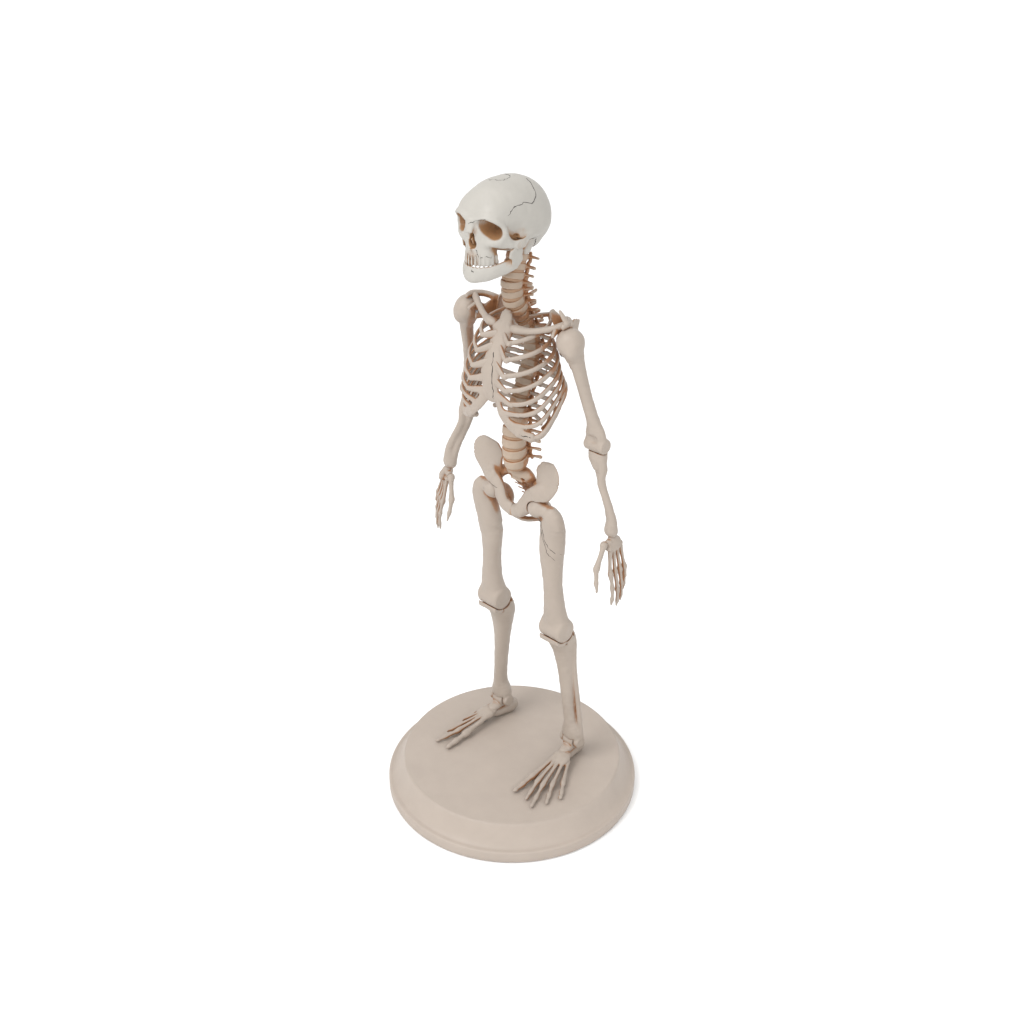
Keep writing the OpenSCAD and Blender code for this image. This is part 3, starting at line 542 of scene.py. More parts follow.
def skull():
    clay = Clay((-25, -41, 400), (25, 27, 453), 0.55)
    mid = SKULL_TOP - 22
    clay.blob((0, -2.5, mid), (22.4, 26, 22), 0)
    clay.blob((0, -13, mid + 1.6), (19.6, 19.6, 19), 4)
    clay.blob((0, 6.5, mid - 4.5), (19.4, 16.5, 16), 4)
    for side in (LEFT, RIGHT):
        clay.blob((side * 8.6, -22, mid + 3), (9, 10.6, 9.5), 5)
    # The face hangs under the forehead, down to the upper teeth
    clay.limb([(0, -24.6, 430, 14, 8), (0, -25.4, 422, 12, 8), (0, -26, 415, 10.2, 7.4),
               (0, -25.8, 409, 10.6, 7.8), (0, -25.6, 404, 10.6, 8.4)], X_AXIS, 3)
    clay.slab((0, 0, 403.6), (0, 0, -1), 0.6)
    for side in (LEFT, RIGHT):
        # Brow, outer rim of the eye socket and cheekbone
        clay.limb([(side * 4, -33.4, 430.6, 1.4), (side * 9.6, -32.6, 432, 1.4), (side * 15.4, -29.4, 431,
            1.6),
                   (side * 18, -25.4, 427.4, 1.5), (side * 18.3, -24.4, 422.6, 1.7),
                   (side * 16, -25.8, 419, 2.2)], Y_AXIS, 2)
        clay.limb([(side * 7.6, -29.6, 417.4, 3, 2), (side * 12.2, -27.8, 417.6, 2.6, 2.4),
                   (side * 16.2, -24.6, 417.4, 3, 2), (side * 19.6, -20.8, 417, 2.6, 1.3)], Z_AXIS, 2)
        clay.limb([(side * 18, -24, 424.5, 1.2, 1.8), (side * 18.8, -22, 420, 1.4, 2.2)], Y_AXIS, 2.5)
        # The hollow temple
        clay.blob((side * 26, -18.5, 424.2), (6.6, 6.4, 5.4), 3.5, cut=True)
        clay.blob((side * 19.4, -15.4, 420.6), (2.4, 2.2, 1.2), 0.8, cut=True)
        # Behind the ear: a soft ridge, the mastoid process and the ear canal
        clay.limb([(side * 20.2, -13, 419, 1.3), (side * 20.8, -6, 419.6, 1.4), (side * 18.6, 2, 421, 1.3),
                   (side * 15, 9, 423, 1), (side * 10, 13.6, 424.5, 0.6)], Z_AXIS, 4.5)
        clay.blob((side * 16.8, -5.6, 411.6), (2.8, 4, 4.6), 2.5)
        clay.blob((side * 11.4, 3.6, 413), (4.6, 6, 4.4), 3.5)
        clay.blob((side * 22, -9.4, 416), (2, 1.2, 1.4), 0.8, cut=True)
        # Jaw socket
        clay.drum((side * JAW_OUT, JAW[1], JAW[2]), X_AXIS, 3.3, 2.2, soft=0.1)
        clay.drill((side * JAW_OUT, JAW[1], JAW[2]), X_AXIS, 3.3, 3, 0.5)
        # The cheek's arch passes outside the hinge
        clay.limb([(side * 19.4, -21, 417, 2.6, 1.2), (side * 21.6, -18, 416.6, 2.6, 0.8),
                   (side * 23.1, -14.5, 417, 2.8, 0.75), (side * 22.2, -10.6, 418.4, 2.3, 1),
                   (side * 20.4, -8, 419.2, 2, 1.4)], Z_AXIS, 1)
        # Eye socket: a deep cone, its mouth an oval that slants down and out
        slant = (side * 0.87, 0, -0.49)
        clay.limb([(side * 13, -40, 425, 8.2, 5.7), (side * 12.2, -31, 425.6, 7.8, 5.2),
                   (side * 10.4, -25.6, 425.4, 5, 4), (side * 8.8, -21, 425, 1.6, 1.6)], slant, 1, cut=True)
    # Nose: the bridge, the pear-shaped opening and the partition inside
    clay.limb([(0, -34, 430, 3, 1.8), (0, -34.4, 427, 2.6, 1.7), (0, -35.6, 423.8, 2.7, 1.3)], X_AXIS, 2)
    clay.limb([(0, -42, 416, 3.4, 3.2), (0, -33, 416, 3.1, 2.9), (0, -28, 416.6, 2.2, 2.4)], X_AXIS, 0.8,
              cut=True)
    clay.limb([(0, -42, 419.6, 2.1, 3), (0, -34, 419.6, 1.9, 3), (0, -28, 419, 1.4, 2.2)], X_AXIS, 0.8,
              cut=True)
    clay.limb([(0, -32.5, 420, 0.35, 2.2), (0, -30, 416.5, 0.4, 3.4)], X_AXIS, 0.4)
    clay.limb([(0, -33.6, 412.4, 0.8, 0.9), (0, -35.2, 412.8, 0.5, 0.5)], X_AXIS, 1)
    for side in (LEFT, RIGHT):
        clay.blob((side * 11.4, -33.4, 413), (2.6, 2.6, 3), 2, cut=True)
    clay.blob((0, -25, 402.5), (6.4, 7.5, 3.4), 1, cut=True)
    teeth(clay, 405.2, 34.6, 10.8, 1)
    # Underside: the neck's room and the hole that turns on the peg
    clay.blob((0, NECK_Y - 2, 409), (9, 9, 4.9), 2)
    clay.drill((0, NECK_Y, 398), Z_AXIS, 12, 5.6, 1.4)
    clay.drill((0, NECK_Y, 404), Z_AXIS, 1.9, 9, 0.2)
    return clay


JAW_OUT = 21


def arch(t, front, half):
    """A point of the dental arch and its outward direction; t runs from -1 to 1."""
    angle = math.radians(90 * t)
    spot = vec(half * math.sin(angle), -front + 13 * (1 - math.cos(angle)))
    return spot, unit(vec(math.sin(angle) * 1.3, -math.cos(angle)))


def teeth(clay, z, front, half, down):
    """A row of small teeth along the arch; down is 1 for the upper row and -1 for the lower."""
    for i in range(14):
        spot, out = arch((i - 6.5) / 7.2, front, half)
        wide = 0.85 + 0.3 * abs(i - 6.5) / 6.5
        root = spot + out * 0.1
        clay.blob((root[0], root[1], z + down * 2.4), (wide * 0.5, wide * 0.6, 2.4), 0.6)
        clay.blob((root[0], root[1], z), (wide * 0.84, wide * 0.9, 2.3), 0.3)


def jaw():
    clay = Clay((-24.5, -40, 391), (24.5, -8, 420), 0.5)
    for side in (LEFT, RIGHT):
        # Body: a tall band round the chin
        clay.limb([(side * 19, -13, 408, 2.4, 1.4), (side * 17.6, -16, 404.4, 3.6, 1.5),
                   (side * 14.2, -21.4, 401.6, 3.9, 1.7), (side * 11, -27.2, 399.6, 4, 1.8),
                   (side * 7.2, -31.6, 398.4, 4.3, 1.9), (side * 2.6, -34, 398, 4.5, 2),
                   (0, -34.2, 398, 4.5, 2)], Z_AXIS, 1)
        # Ramus: a broad plate up to the pivot
        clay.limb([(side * 18.6, -15, 405, 1.2, 4.4), (side * 19.8, -16, 409, 1.1, 4.4),
                   (side * 20.6, -16.4, 412.5, 1, 4.2), (side * 20.8, -16, 415.4, 1, 2.8)], X_AXIS, 1.5)
        clay.limb([(side * 19.4, -20, 409, 0.9, 2), (side * 20.2, -20.6, 413.4, 0.8, 1)], X_AXIS, 1.5)
        clay.drum((side * (JAW_OUT - 0.3), JAW[1], JAW[2]), X_AXIS, 2.3, 1.2, 0.8)
        clay.drill((side * JAW_OUT, JAW[1], JAW[2]), X_AXIS, 0.85, 3)
    clay.blob((0, -34.2, 395.6), (4.4, 1.8, 2), 2.5)
    teeth(clay, 401, 34.8, 10.6, -1)
    return clay


# ---------- Spine ----------

SPINE_AXIS = [[402, 5], [394, 2], [384, -0.5], [374, 1], [366, 5.5], [355, 13], [344, 18.5],
              [333, 18.5], [321, 13.5], [309, 8], [297, 4.5], [286, 2.5], [277, 1.8], [266, 3], [255, 6]]
CERVICAL = [400.5 - 5.4 * i for i in range(7)]
THORACIC = [362.6 - 5.75 * i for i in range(12)]
LUMBAR = [292.6 - 7.2 * i for i in range(5)]


def spine_y(z):
    return lookup(z, SPINE_AXIS)


def spine_place(points, z):
    """Points drawn about a vertebra's own centre, put on the spine at height z."""
    lean = math.degrees(math.atan2(spine_y(z + 3) - spine_y(z - 3), 6))
    out = turn(points, vec(0, 0, 0), X_AXIS, -lean)
    out[..., :3] += vec(0, spine_y(z), z)
    return out


def vertebra(clay, z, radius, height, side_reach, back_reach, drop, spread=1.3):
    def limb(keys, across, soft):
        clay.limb(spine_place(np.array(keys, float), z), across, soft)

    half = height / 2
    centre = spine_place(np.array([(0, 0, 0)], float), z)[0]
    tilt = spine_place(np.array([(0, 0, 1)], float), z)[0] - centre
    clay.drum(centre, tilt, radius, half, 0.5, 0.9)
    for side in (LEFT, RIGHT):
        limb([(side * radius * 0.45, radius * 0.75, 0.2, 1.3, 1.3),
              (side * side_reach * 0.7, radius * 1.05, 0.5, 0.9, 1.1),
              (side * side_reach, radius * 1.2, 0.4, spread, spread)], Z_AXIS, 1)
        limb([(side * radius * 0.55, radius * 1.12, half * 1.05, 1.1, 1.1),
              (side * radius * 0.62, radius * 1.2, -half * 1.05, 1.1, 1.1)], X_AXIS, 0.9)
        limb([(side * radius * 0.5, radius * 0.95, 0, 0.9, 1.6), (0, radius * 1.45, -0.3, 0.9, 1.7)],
             Z_AXIS, 0.9)
    limb([(0, radius * 1.3, -0.2, 0.9, 1.7), (0, (radius * 1.3 + back_reach) / 2, -drop * 0.55, 0.6, 1.3),
          (0, back_reach, -drop, 0.8, 1.1)], X_AXIS, 0.7)


def cervical():
    clay = Clay((-13, -9, 362), (13, 30, 405), 0.5)
    for i, z in enumerate(CERVICAL):
        vertebra(clay, z, 6.8, 4.6, 10 if i == 0 else 9, 11.5 + 1.2 * i, 1 + 0.4 * i, 0.9)
    return clay


def thoracic():
    clay = Clay((-13, -6, 292), (13, 36, 368), 0.5)
    for i, z in enumerate(THORACIC):
        vertebra(clay, z, 5 + 0.13 * i, 4.6, 9.5 - 0.2 * i, 13 - 0.2 * i, 4)
    return clay


def lumbar():
    clay = Clay((-17, -10, 256), (17, 20, 300), 0.5)
    for i, z in enumerate(LUMBAR):
        vertebra(clay, z, 7.8 + 0.1 * i, 6, 13.4, 14, 1.5, 1.2)
    return clay


def discs():
    clay = Clay((-10, -10, 256), (10, 30, 402), 0.6)

    def disc(z, radius, height):
        centre = spine_place(np.array([(0, 0, 0)], float), z)[0]
        tilt = spine_place(np.array([(0, 0, 1)], float), z)[0] - centre
        clay.drum(centre, tilt, radius, height / 2, 0.4, 0.6)

    for levels, radius in ((CERVICAL, 6.3), (THORACIC, 5.3), (LUMBAR, 7.3)):
        for upper, lower in zip(levels[:-1], levels[1:]):
            disc((upper + lower) / 2, radius, 2.6)
    disc((CERVICAL[-1] + THORACIC[0]) / 2, 4.8, 2.8)
    disc((THORACIC[-1] + LUMBAR[0]) / 2, 6.4, 2.4)
    disc(LUMBAR[-1] - 3.8, 7, 2.4)
    return clay


def sacrum():
    clay = Clay((-15, 0, 226), (15, 24, 259), 0.5)
    clay.limb([(0, 6.5, 255, 7, 4), (0, 8, 252.5, 12, 5), (0, 11, 248, 11, 4.4), (0, 15, 241, 7, 3.2),
               (0, 17, 235, 4, 2.2), (0, 15.5, 230, 2, 1.4), (0, 13.5, 228, 0.8, 0.8)], X_AXIS, 0.5)
    for k in range(4):
        z = 250.5 - 4 * k
        y = lookup(z, [[256, 4], [248, 8.4], [240, 13.4], [234, 16.6]])
        for side in (LEFT, RIGHT):
            clay.blob((side * (5.6 - 0.8 * k), y - 2.6, z), (1.2, 3, 1), 0.8, cut=True)
        clay.limb([(-5 + k, y - 2.6, z - 2, 0.5), (5 - k, y - 2.6, z - 2, 0.5)], Z_AXIS, 1)
        clay.blob((0, y + 5.4, z - 0.5), (0.9, 1.6, 1.6), 1.2)
    return clay


# ---------- Chest ----------

# Each rib: height at the spine, height at the front, half width, front and back of its ring, how
# square the ring is, and how late the rib rises towards the spine
RIBS = [[361.5, 350, 21.5, -17, 24, 0.95, 0.6], [354.5, 340.6, 26, -20.5, 23, 1.0, 0.65],
        [347.5, 332, 29, -23, 22.5, 0.95, 0.8], [342, 323.6, 31, -23, 22, 0.85, 0.95],
        [337, 315.6, 32.5, -21.8, 20, 0.72, 1.1], [332.5, 309, 34, -20, 18.5, 0.62, 1.15],
        [328.5, 301, 35, -16.5, 17.5, 0.5, 1.1], [325.5, 293, 36, -13.5, 17, 0.42, 1.02],
        [318, 290, 34, -11, 15, 0.5, 1.0], [311, 289, 31, -9, 13, 0.6, 1.0],
        [303.8, 292, 28, -8, 11.5, 0.8, 1.0], [298, 290, 22, -5, 10, 1.0, 1.0]]
RIB_END = [32, 30, 28, 27, 28, 30, 34, 40, 46, 54, 80, 110]
STERNUM_Z = [352.6, 345.6, 336.4, 327.3, 318.1]
STERNUM_Y = [[300, -16.5], [314, -17.6], [322.8, -19.4], [333.7, -18.6], [342.6, -14.6], [350, -11], [360,
    -6.4],
             [366, -3.7]]
MARGIN = [(5, -18.2, 315), (10, -19.6, 308), (16, -19, 302), (22.5, -16.6, 297), (29, -12.6, 294.6)]


def rib_point(i, angle):
    high, low, half, front, back, square, late = RIBS[i]
    s, c = math.sin(math.radians(angle)), math.cos(math.radians(angle))
    depth = (1 - math.copysign(abs(c) ** square, c)) / 2
    return [half * abs(s) ** square, front + (back - front) * depth, low + (high - low) * depth ** late]


def ribs(side):
    clay = Clay(mirrored_low((1, -28, 284), side), mirrored_high((46, 32, 368), side), 0.5)
    for i in range(12):
        angles = np.linspace(RIB_END[i], 152, 12)
        ring = [rib_point(i, a) + [1.6, 1.2] for a in angles]
        head = [4.6, spine_y(RIBS[i][0]) + 2, RIBS[i][0], 1.2, 1]
        clay.limb(mirrored(ring + [head], side), Z_AXIS, 0.8, steps=2)
    return clay


def mirrored_low(corner, side):
    return corner if side == LEFT else (-46, corner[1], corner[2])


def mirrored_high(corner, side):
    return corner if side == LEFT else (-1, corner[1], corner[2])


def cartilage(side):
    """The cartilages of ribs 1 to 5 run to the sternum, those of ribs 6 to 10 to the sloping margin."""
    clay = Clay(mirrored_low((1, -28, 284), side), mirrored_high((46, 12, 364), side), 0.5)
    for i, z in enumerate(STERNUM_Z):
        keys = [[3, lookup(z, STERNUM_Y), z + 0.6, 3.2, 1.4], rib_point(i, RIB_END[i] * 0.9) + [1.8, 1.3],
                rib_point(i, RIB_END[i] + 2) + [1.7, 1.3]]
        clay.limb(mirrored(keys, side), Z_AXIS, 2)
    for i, spot in ((5, 1), (6, 2), (7, 3), (8, 4), (9, 4)):
        x, y, z = MARGIN[spot]
        keys = [[x, y, z, 2.2, 1.3], rib_point(i, RIB_END[i] * 0.85) + [1.7, 1.3], rib_point(i,
            RIB_END[i] + 2) + [1.7, 1.3]]
        clay.limb(mirrored(keys, side), Z_AXIS, 1.6)
    clay.limb(mirrored([[x, y, z, 3.2, 1.4] for x, y, z in MARGIN], side), Z_AXIS, 1.6)
    return clay


def sternum():
    clay = Clay((-14, -25, 296), (14, 3, 372), 0.5)
    clay.limb([(0, -3.6, 367, 2.6, 2), (0, -3.9, 365, 4.2, 2.2), (0, -6, 360, 5.6, 2.1), (0, -9, 354, 8,
        2.1),
               (0, -12.6, 347, 7, 2), (0, -16, 340, 7.4, 2), (0, -18.8, 333, 8.2, 1.9), (0, -19.4, 325,
                   7.2, 1.9),
               (0, -18.4, 317.5, 6.6, 1.8), (0, -17.6, 313, 4, 1.6)], X_AXIS, 0.5)
    for side in (LEFT, RIGHT):
        clay.limb([(side * 5, -18.4, 318, 2.6, 1.5), (side * 6, -18.2, 313.5, 2.4, 1.4)], X_AXIS, 2)
        clay.limb([(side * 3, -6.6, 358.4, 2.4, 1.8), (side * 7, -7.6, 357.4, 2, 1.8)], Z_AXIS, 2)
    return clay


def clavicle(side):
    clay = Clay(mirrored_low((4, -15, 352), side), mirrored_high((46, 14, 372), side), 0.45)
    clay.limb(mirrored([(8.6, -7.4, 359, 2.7, 2.7), (12, -7.4, 359.2, 2.9, 2.7), (20, -3.6, 359.4, 2.1, 2),
                        (30, 1.6, 362, 2, 1.9), (37.5, 5.6, 365, 2.4, 2.2), (41, 7.6, 366.2, 2.2,
                            2)], side), Z_AXIS, 0.5)
    return clay


def scapula(side):
    clay = Clay(mirrored_low((16, -6, 315), side), mirrored_high((50, 36, 376), side), 0.5)
    for keys, across in (
        ([(35.6, 4.6, 356, 1.4, 5), (33.2, 7.7, 355.6, 1.9, 4.4), (31, 13, 355, 1.1, 8.5),
          (28.5, 20, 351.5, 0.9, 12), (27.4, 27, 348, 0.9, 12.5), (27, 31, 348, 0.8, 8)], X_AXIS),
        ([(31, 18, 345, 1, 4), (31.6, 23.5, 336, 0.9, 5.6), (32, 27.5, 327, 0.9, 4),
          (32.4, 29.5, 320, 0.8, 1.4)], X_AXIS),
        ([(26.6, 28, 356, 1.2, 1.2), (26, 20.6, 361.4, 2, 1.2), (31, 15.6, 364.4, 2.3, 1.3), (36.6, 12,
            366, 2.2, 1.4),
          (40.6, 6, 366.6, 2.2, 1.8), (41, 1.6, 366, 1.8, 1.5)], Z_AXIS),
        ([(34, 8, 358.6, 1.9, 2), (34.2, 3.6, 362, 1.7, 1.8), (35.6, -1.6, 360, 1.4, 1.5)], X_AXIS),
        ([(28, 19, 354, 1.1, 4), (24.5, 15, 362, 1, 4), (21.6, 12.4, 368.4, 0.9, 2.2)], X_AXIS),
    ):
        clay.limb(mirrored(keys, side), across, 1.5)
    if side == LEFT:
        clay.limb([(41.4, 4.6, 367.4, 1.6, 1.4), (39.2, 3.6, 371, 1.7, 1.2), (36.4, 3.4, 374.4, 0.9, 0.8)],
                  Y_AXIS, 1)
    return clay


# ---------- Arms ----------

ELBOW_DOWN = vec(58, SHOULDER[1], SHOULDER[2] - 67.5)
WRIST_DOWN = vec(71, SHOULDER[1], ELBOW_DOWN[2] - 61.5)
WRIST_AXIS = unit(WRIST_DOWN - ELBOW_DOWN)
ARM_BACK = {LEFT: 10.3, RIGHT: 14.3}
ARM_BEND = {LEFT: 9, RIGHT: 24.5}
HAND_TURN = {LEFT: 0, RIGHT: 62}


def upper_arm_pose(keys, side):
    return mirrored(turn(keys, SHOULDER, X_AXIS, ARM_BACK[side]), side)


def forearm_pose(keys, side):
    return upper_arm_pose(turn(keys, ELBOW_DOWN, X_AXIS, -ARM_BEND[side]), side)


def hand_pose(keys, side):
    """Keys are drawn from the wrist down the forearm's line: x out, y back, z up."""
    lean = math.degrees(math.atan2(13, 61.5))
    out = turn(keys, vec(0, 0, 0), Y_AXIS, -lean)
    out[..., :3] += WRIST_DOWN
    return forearm_pose(turn(out, WRIST_DOWN, WRIST_AXIS, HAND_TURN[side]), side)


def around(keys, reach):
    keys = np.array(keys)[:, :3]
    return keys.min(0) - reach, keys.max(0) + reach


def offset(base, rows):
    """Keys given relative to a point."""
    return [list(base + np.array(r[:3])) + list(r[3:]) for r in rows]


def humerus(side):
    s, e = SHOULDER, ELBOW_DOWN
    shaft = offset(s, [(-2, 0.6, 1, 6, 6), (0.2, 0.4, -7, 6.2, 6), (2.6, 0.2, -14, 4.4, 4.6), (6, 0.4, -33,
        3.8, 3.8)])
    shaft += offset(e, [(-2, 0.4, 17, 4.4, 3.8), (-0.3, 0, 8, 7.4, 4), (0, 0, 2, 7.6, 3.6)])
    shaft = upper_arm_pose(shaft, side)
    clay = Clay(*around(shaft, 11), 0.55)
    clay.blob(upper_arm_pose([s + vec(-2, 0.8, -0.4)], side)[0], (8.6, 8.8, 8.8), 0)
    clay.blob(upper_arm_pose([s + vec(2.4, -3.4, -3.4)], side)[0], (4, 4, 6), 2.5)
    clay.limb(shaft, X_AXIS, 2)
    elbow = upper_arm_pose([e], side)[0]
    clay.drum(elbow, X_AXIS, 5, 7.6, 1.5, 1.4)
    clay.blob(upper_arm_pose([e + vec(0, -4.4, 5.6)], side)[0], (4, 2.2, 2.6), 1.5, cut=True)
    clay.blob(upper_arm_pose([e + vec(0, 4.6, 6)], side)[0], (4, 2.4, 3.2), 1.5, cut=True)
    return clay


def forearm(side):
    e, w = ELBOW_DOWN, WRIST_DOWN
    top = offset(e, [(0, 1.2, -5.2, 7, 4.4), (0.2, 0.6, -9, 6.6, 4.6), (1.5, 0, -15, 4, 3.4)])
    ulna = offset(e, [(-1.5, 1.6, -8, 3, 3), (1.2, 2, -22, 2.5, 2.5)])
    ulna += offset(w, [(-3.8, 1.6, 16, 2.2, 2.2), (-2, 1, 3, 2.4, 2.6)])
    radius = offset(e, [(4, -0.4, -8, 3, 2.8), (5.6, -0.6, -16, 3, 2.8), (5.2, -1, -26, 2.7, 2.6)])
    radius += offset(w, [(0.6, -1, 16, 2.8, 2.6), (0.4, -0.4, 6, 4.6, 3.8), (0, 0, 3.6, 4.6, 3.6)])
    clay = Clay(*around(forearm_pose(np.array(top + ulna + radius), side), 8), 0.55)
    clay.limb(forearm_pose(top, side), X_AXIS, 0.5)
    clay.limb(forearm_pose(ulna, side), X_AXIS, 1.2)
    clay.limb(forearm_pose(radius, side), X_AXIS, 2)
    elbow = forearm_pose([e], side)[0]
    clay.drill(elbow, X_AXIS, 5.4, 12, 0.6)
    return clay


def hand_clay(side, keys, voxel=0.42):
    return Clay(*around(hand_pose(np.array(keys, float)[:, :3], side), 6), voxel)


def carpals(side):
    spots = [(0, -2.6, -3.2), (0, 1.4, -2.8), (0, 4.8, -4), (-0.2, -3.2, -7), (0, 0.4, -7), (0, 3.6, -7.6),
             (0, 6.4, -7)]
    clay = hand_clay(side, spots)
    clay.limb(hand_pose([(0, 1.2, -1.6, 2.8, 3.4), (0, 1.4, -4, 3.0, 5.4), (0, 2, -8, 2.8, 6)], side),
              X_AXIS, 0.5)
    for spot in spots:
        clay.blob(hand_pose([spot], side)[0], (2.6, 2.4, 2.2), 0.7)
    return clay


# Fingers: sideways place at the palm, at the knuckle and at the tip, and the drop of the tip
FINGERS = [[-2.8, -4.8, -4.4, -48], [0.6, -0.3, 0.2, -50.5], [4, 4.2, 4.6, -48], [7.4, 8.6, 8.6, -42]]


def fingers(side):
    clay = hand_clay(side, [(0, -6, -8), (-6, 10, -52)])
    for root, knuckle, end, tip in FINGERS:
        keys = [(0, root, -9.6, 1.6, 1.7), (-0.4, (root + knuckle) / 2, -16, 1.15, 1.2), (-0.5, knuckle,
            -22, 1.3, 1.3),
                (-0.6, knuckle, -25, 2, 2), (-0.7, knuckle, -27, 1.5, 1.5), (-1, (knuckle + end) / 2, -32,
                    1.15, 1.2),
                (-1.4, end, tip + 12.6, 1.65, 1.6), (-1.7, end, tip + 10.6, 1.25, 1.2),
                (-2.4, end, tip + 7, 1.05, 1.05), (-3.2, end, tip + 4, 1.35, 1.3), (-4, end, tip + 2, 0.95,
                    0.9),
                (-4.6, end, tip, 0.6, 0.6)]
        clay.limb(hand_pose(keys, side), X_AXIS, 0.6, steps=3)
    return clay


def thumb(side):
    keys = [(-0.5, -5.2, -2.6, 1.2, 1.2), (-0.8, -6.6, -3.6, 2.5, 2.5), (-1.1, -8, -6, 1.9, 1.9), (-1.4,
        -9.8, -9, 1.6, 1.6),
            (-2.2, -13, -14.4, 1.8, 1.8), (-2.6, -14.8, -17.4, 2.3, 2.2), (-2.7, -15.6, -20.4, 1.5, 1.5),
            (-2.8, -16.4, -24.6, 1.35, 1.35), (-2.8, -16.8, -26.6, 1.6, 1.6), (-2.8, -17.1, -29.4, 1.1,
                1.1),
            (-2.8, -17.4, -33, 0.6, 0.6)]
    clay = hand_clay(side, keys)
    clay.limb(hand_pose(keys, side), X_AXIS, 0.6, steps=3)
    return clay


# ---------- Pelvis ----------


def hip_bone(side):
    clay = Clay(mirrored_low((0, -14, 208), side), mirrored_high((44, 26, 274), side), 0.55)
    for keys, across, soft in (
        ([(20.4, 4.5, 236, 5, 5.5), (21.4, 4.5, 241, 5.5, 5), (23, 5, 247, 8, 3.2), (25.2, 5, 253, 10.2,
            2.2),
          (26.8, 5.2, 259, 12.2, 1.6), (26.4, 5.8, 264.5, 11, 1.4), (25.6, 6.4, 268.4, 7, 1.1)],
         (1, -0.2 * side, 0), 2.5),
        ([(24, 3.4, 250, 4.6, 3.2), (17.4, 2.2, 243.6, 6, 3.4), (12.6, 1.6, 236.6, 6, 3.4), (7.6, 0.6,
            230.4, 5, 3.2),
          (1.2, 1.2, 227.4, 4.8, 3)], Z_AXIS, 3),
        ([(14.5, 3.6, 235.5, 4, 4.4), (19, 7, 235, 4.4, 4.4), (18.6, 12.6, 231.5, 3.8, 4.2),
          (17, 14.6, 226.4, 3.6, 3.8), (15.4, 13, 222.6, 2.8, 3.2)], X_AXIS, 2.5),
        ([(15.4, 12.6, 223, 2.4, 2.4), (10, 8, 221.4, 1.7, 2.2), (5, 4, 222, 1.7, 2.2), (1.6, 2.4, 224,
            1.8, 2.2)],
         Z_AXIS, 1.5),
        ([(20, 8, 246, 4, 5), (15.5, 12.5, 248.5, 2.8, 5.6), (11.2, 13.5, 247.5, 2.2, 4.6)], Z_AXIS, 2),
    ):
        clay.limb(mirrored(keys, side), across, soft)
    hip = mirrored(HIP, side)
    clay.blob(hip, (7, 7, 7), 0.8, cut=True)
    clay.drill(hip + vec(side * 15, 0, 0), X_AXIS, 7, 15, 0.8)
    return clay


def pubic_disc():
    clay = Clay((-3, -5, 220), (3, 8, 234), 0.45)
    clay.blob((0, 1.5, 227), (1.5, 3.4, 4.6), 0)
    return clay


# ---------- Legs ----------


def femur(side):
    h, k = HIP, KNEE
    keys = offset(k, [(3, -9, 95, 2.6, 2.6), (3, -8.6, 92, 5.5, 5), (2.4, -7.6, 85, 8.6, 6.6),
                      (1, -6.2, 77, 9.4, 7.2), (-0.8, -4.8, 66, 9.4, 7.5), (-1.8, -3.7, 56, 8.6, 7.2),
                      (-1, -3, 35, 6.6, 6.4), (0, -2, 16, 8, 7),
                      (0, -0.3, 5, 10, 7.6), (0, 0, 0, 9.6, 6.8)])
    low, high = around(mirrored(keys, side), 12)
    clay = Clay(low, np.maximum(high, mirrored([h], side)[0] + 8), 0.6)
    clay.limb(mirrored(keys, side), X_AXIS, 0.5)
    clay.blob(mirrored(h, side), (6.6, 6.6, 6.6), 0.6)
    clay.limb(mirrored(offset(h, [(0, 0, 0, 4.2, 4.2), (5, 0.6, 0.6, 4, 4.2), (9.5, 1.4, 0, 4.6, 5)]),
                       side), Z_AXIS, 2)
    knee = mirrored(k, side)
    clay.drum(knee, X_AXIS, 8.5, 9.6, 2, 2)
    return clay


def tibia(side):
    k, a = KNEE, ANKLE
    keys = offset(k, [(0, 2.6, -5, 9.4, 7.8), (-0.4, 6.6, -12, 10.2, 9.4), (0.4, 8.8, -21, 8.6, 8.4),
                      (1.8, 9.8, -40, 5.8, 6.4), (4, 10.6, -66, 4.7, 5.5)])
    keys += offset(a, [(-0.5, -1.4, 18, 5, 5.2), (0, 0, 7, 8.2, 6.6), (0, 0, 1, 7.6, 5.4)])
    clay = Clay(*around(mirrored(keys, side), 13), 0.6)
    clay.limb(mirrored(keys, side), X_AXIS, 0.5)
    splint = offset(k, [(8.4, 9, -15, 2.2, 2.4), (8.2, 11.4, -40, 1.7, 1.9)])
    splint += offset(a, [(6, 0.5, 20, 1.9, 2.1), (6.6, 1, 4, 2.3, 3)])
    clay.limb(mirrored(splint, side), X_AXIS, 1)
    knee, ankle = mirrored(k, side), mirrored(a, side)
    clay.drum(ankle, X_AXIS, 4.6, 8.4, 1, 1)
    clay.drill(knee, X_AXIS, 8.9, 20, 0.4)
    clay.drill(knee, X_AXIS, 11.9, 8.5, 0.4)
    clay.drill(ankle, X_AXIS, 6.4, 5, 0.4)
    clay.blob(ankle + vec(0, 0, -6), (5, 9, 5), 0.4, cut=True)
    return clay


def knee_pad(side):
    knee = mirrored(KNEE, side)
    clay = Clay(knee - vec(11, 11, 14), knee + vec(11, 11, -3), 0.45)
    clay.drum(knee, X_AXIS, 11.8, 8.5, 0, 0.9)
    clay.slab(knee - vec(0, 0, 5), (0, 0, 1), 0.8)
    clay.slab(knee - vec(0, 8, 0), (0, -1, 0), 0.8)
    clay.slab(knee + vec(0, 8, 0), (0, 1, 0), 0.8)
    clay.drill(knee, X_AXIS, 8.9, 20, 0.5)
    return clay


# ---------- Feet ----------

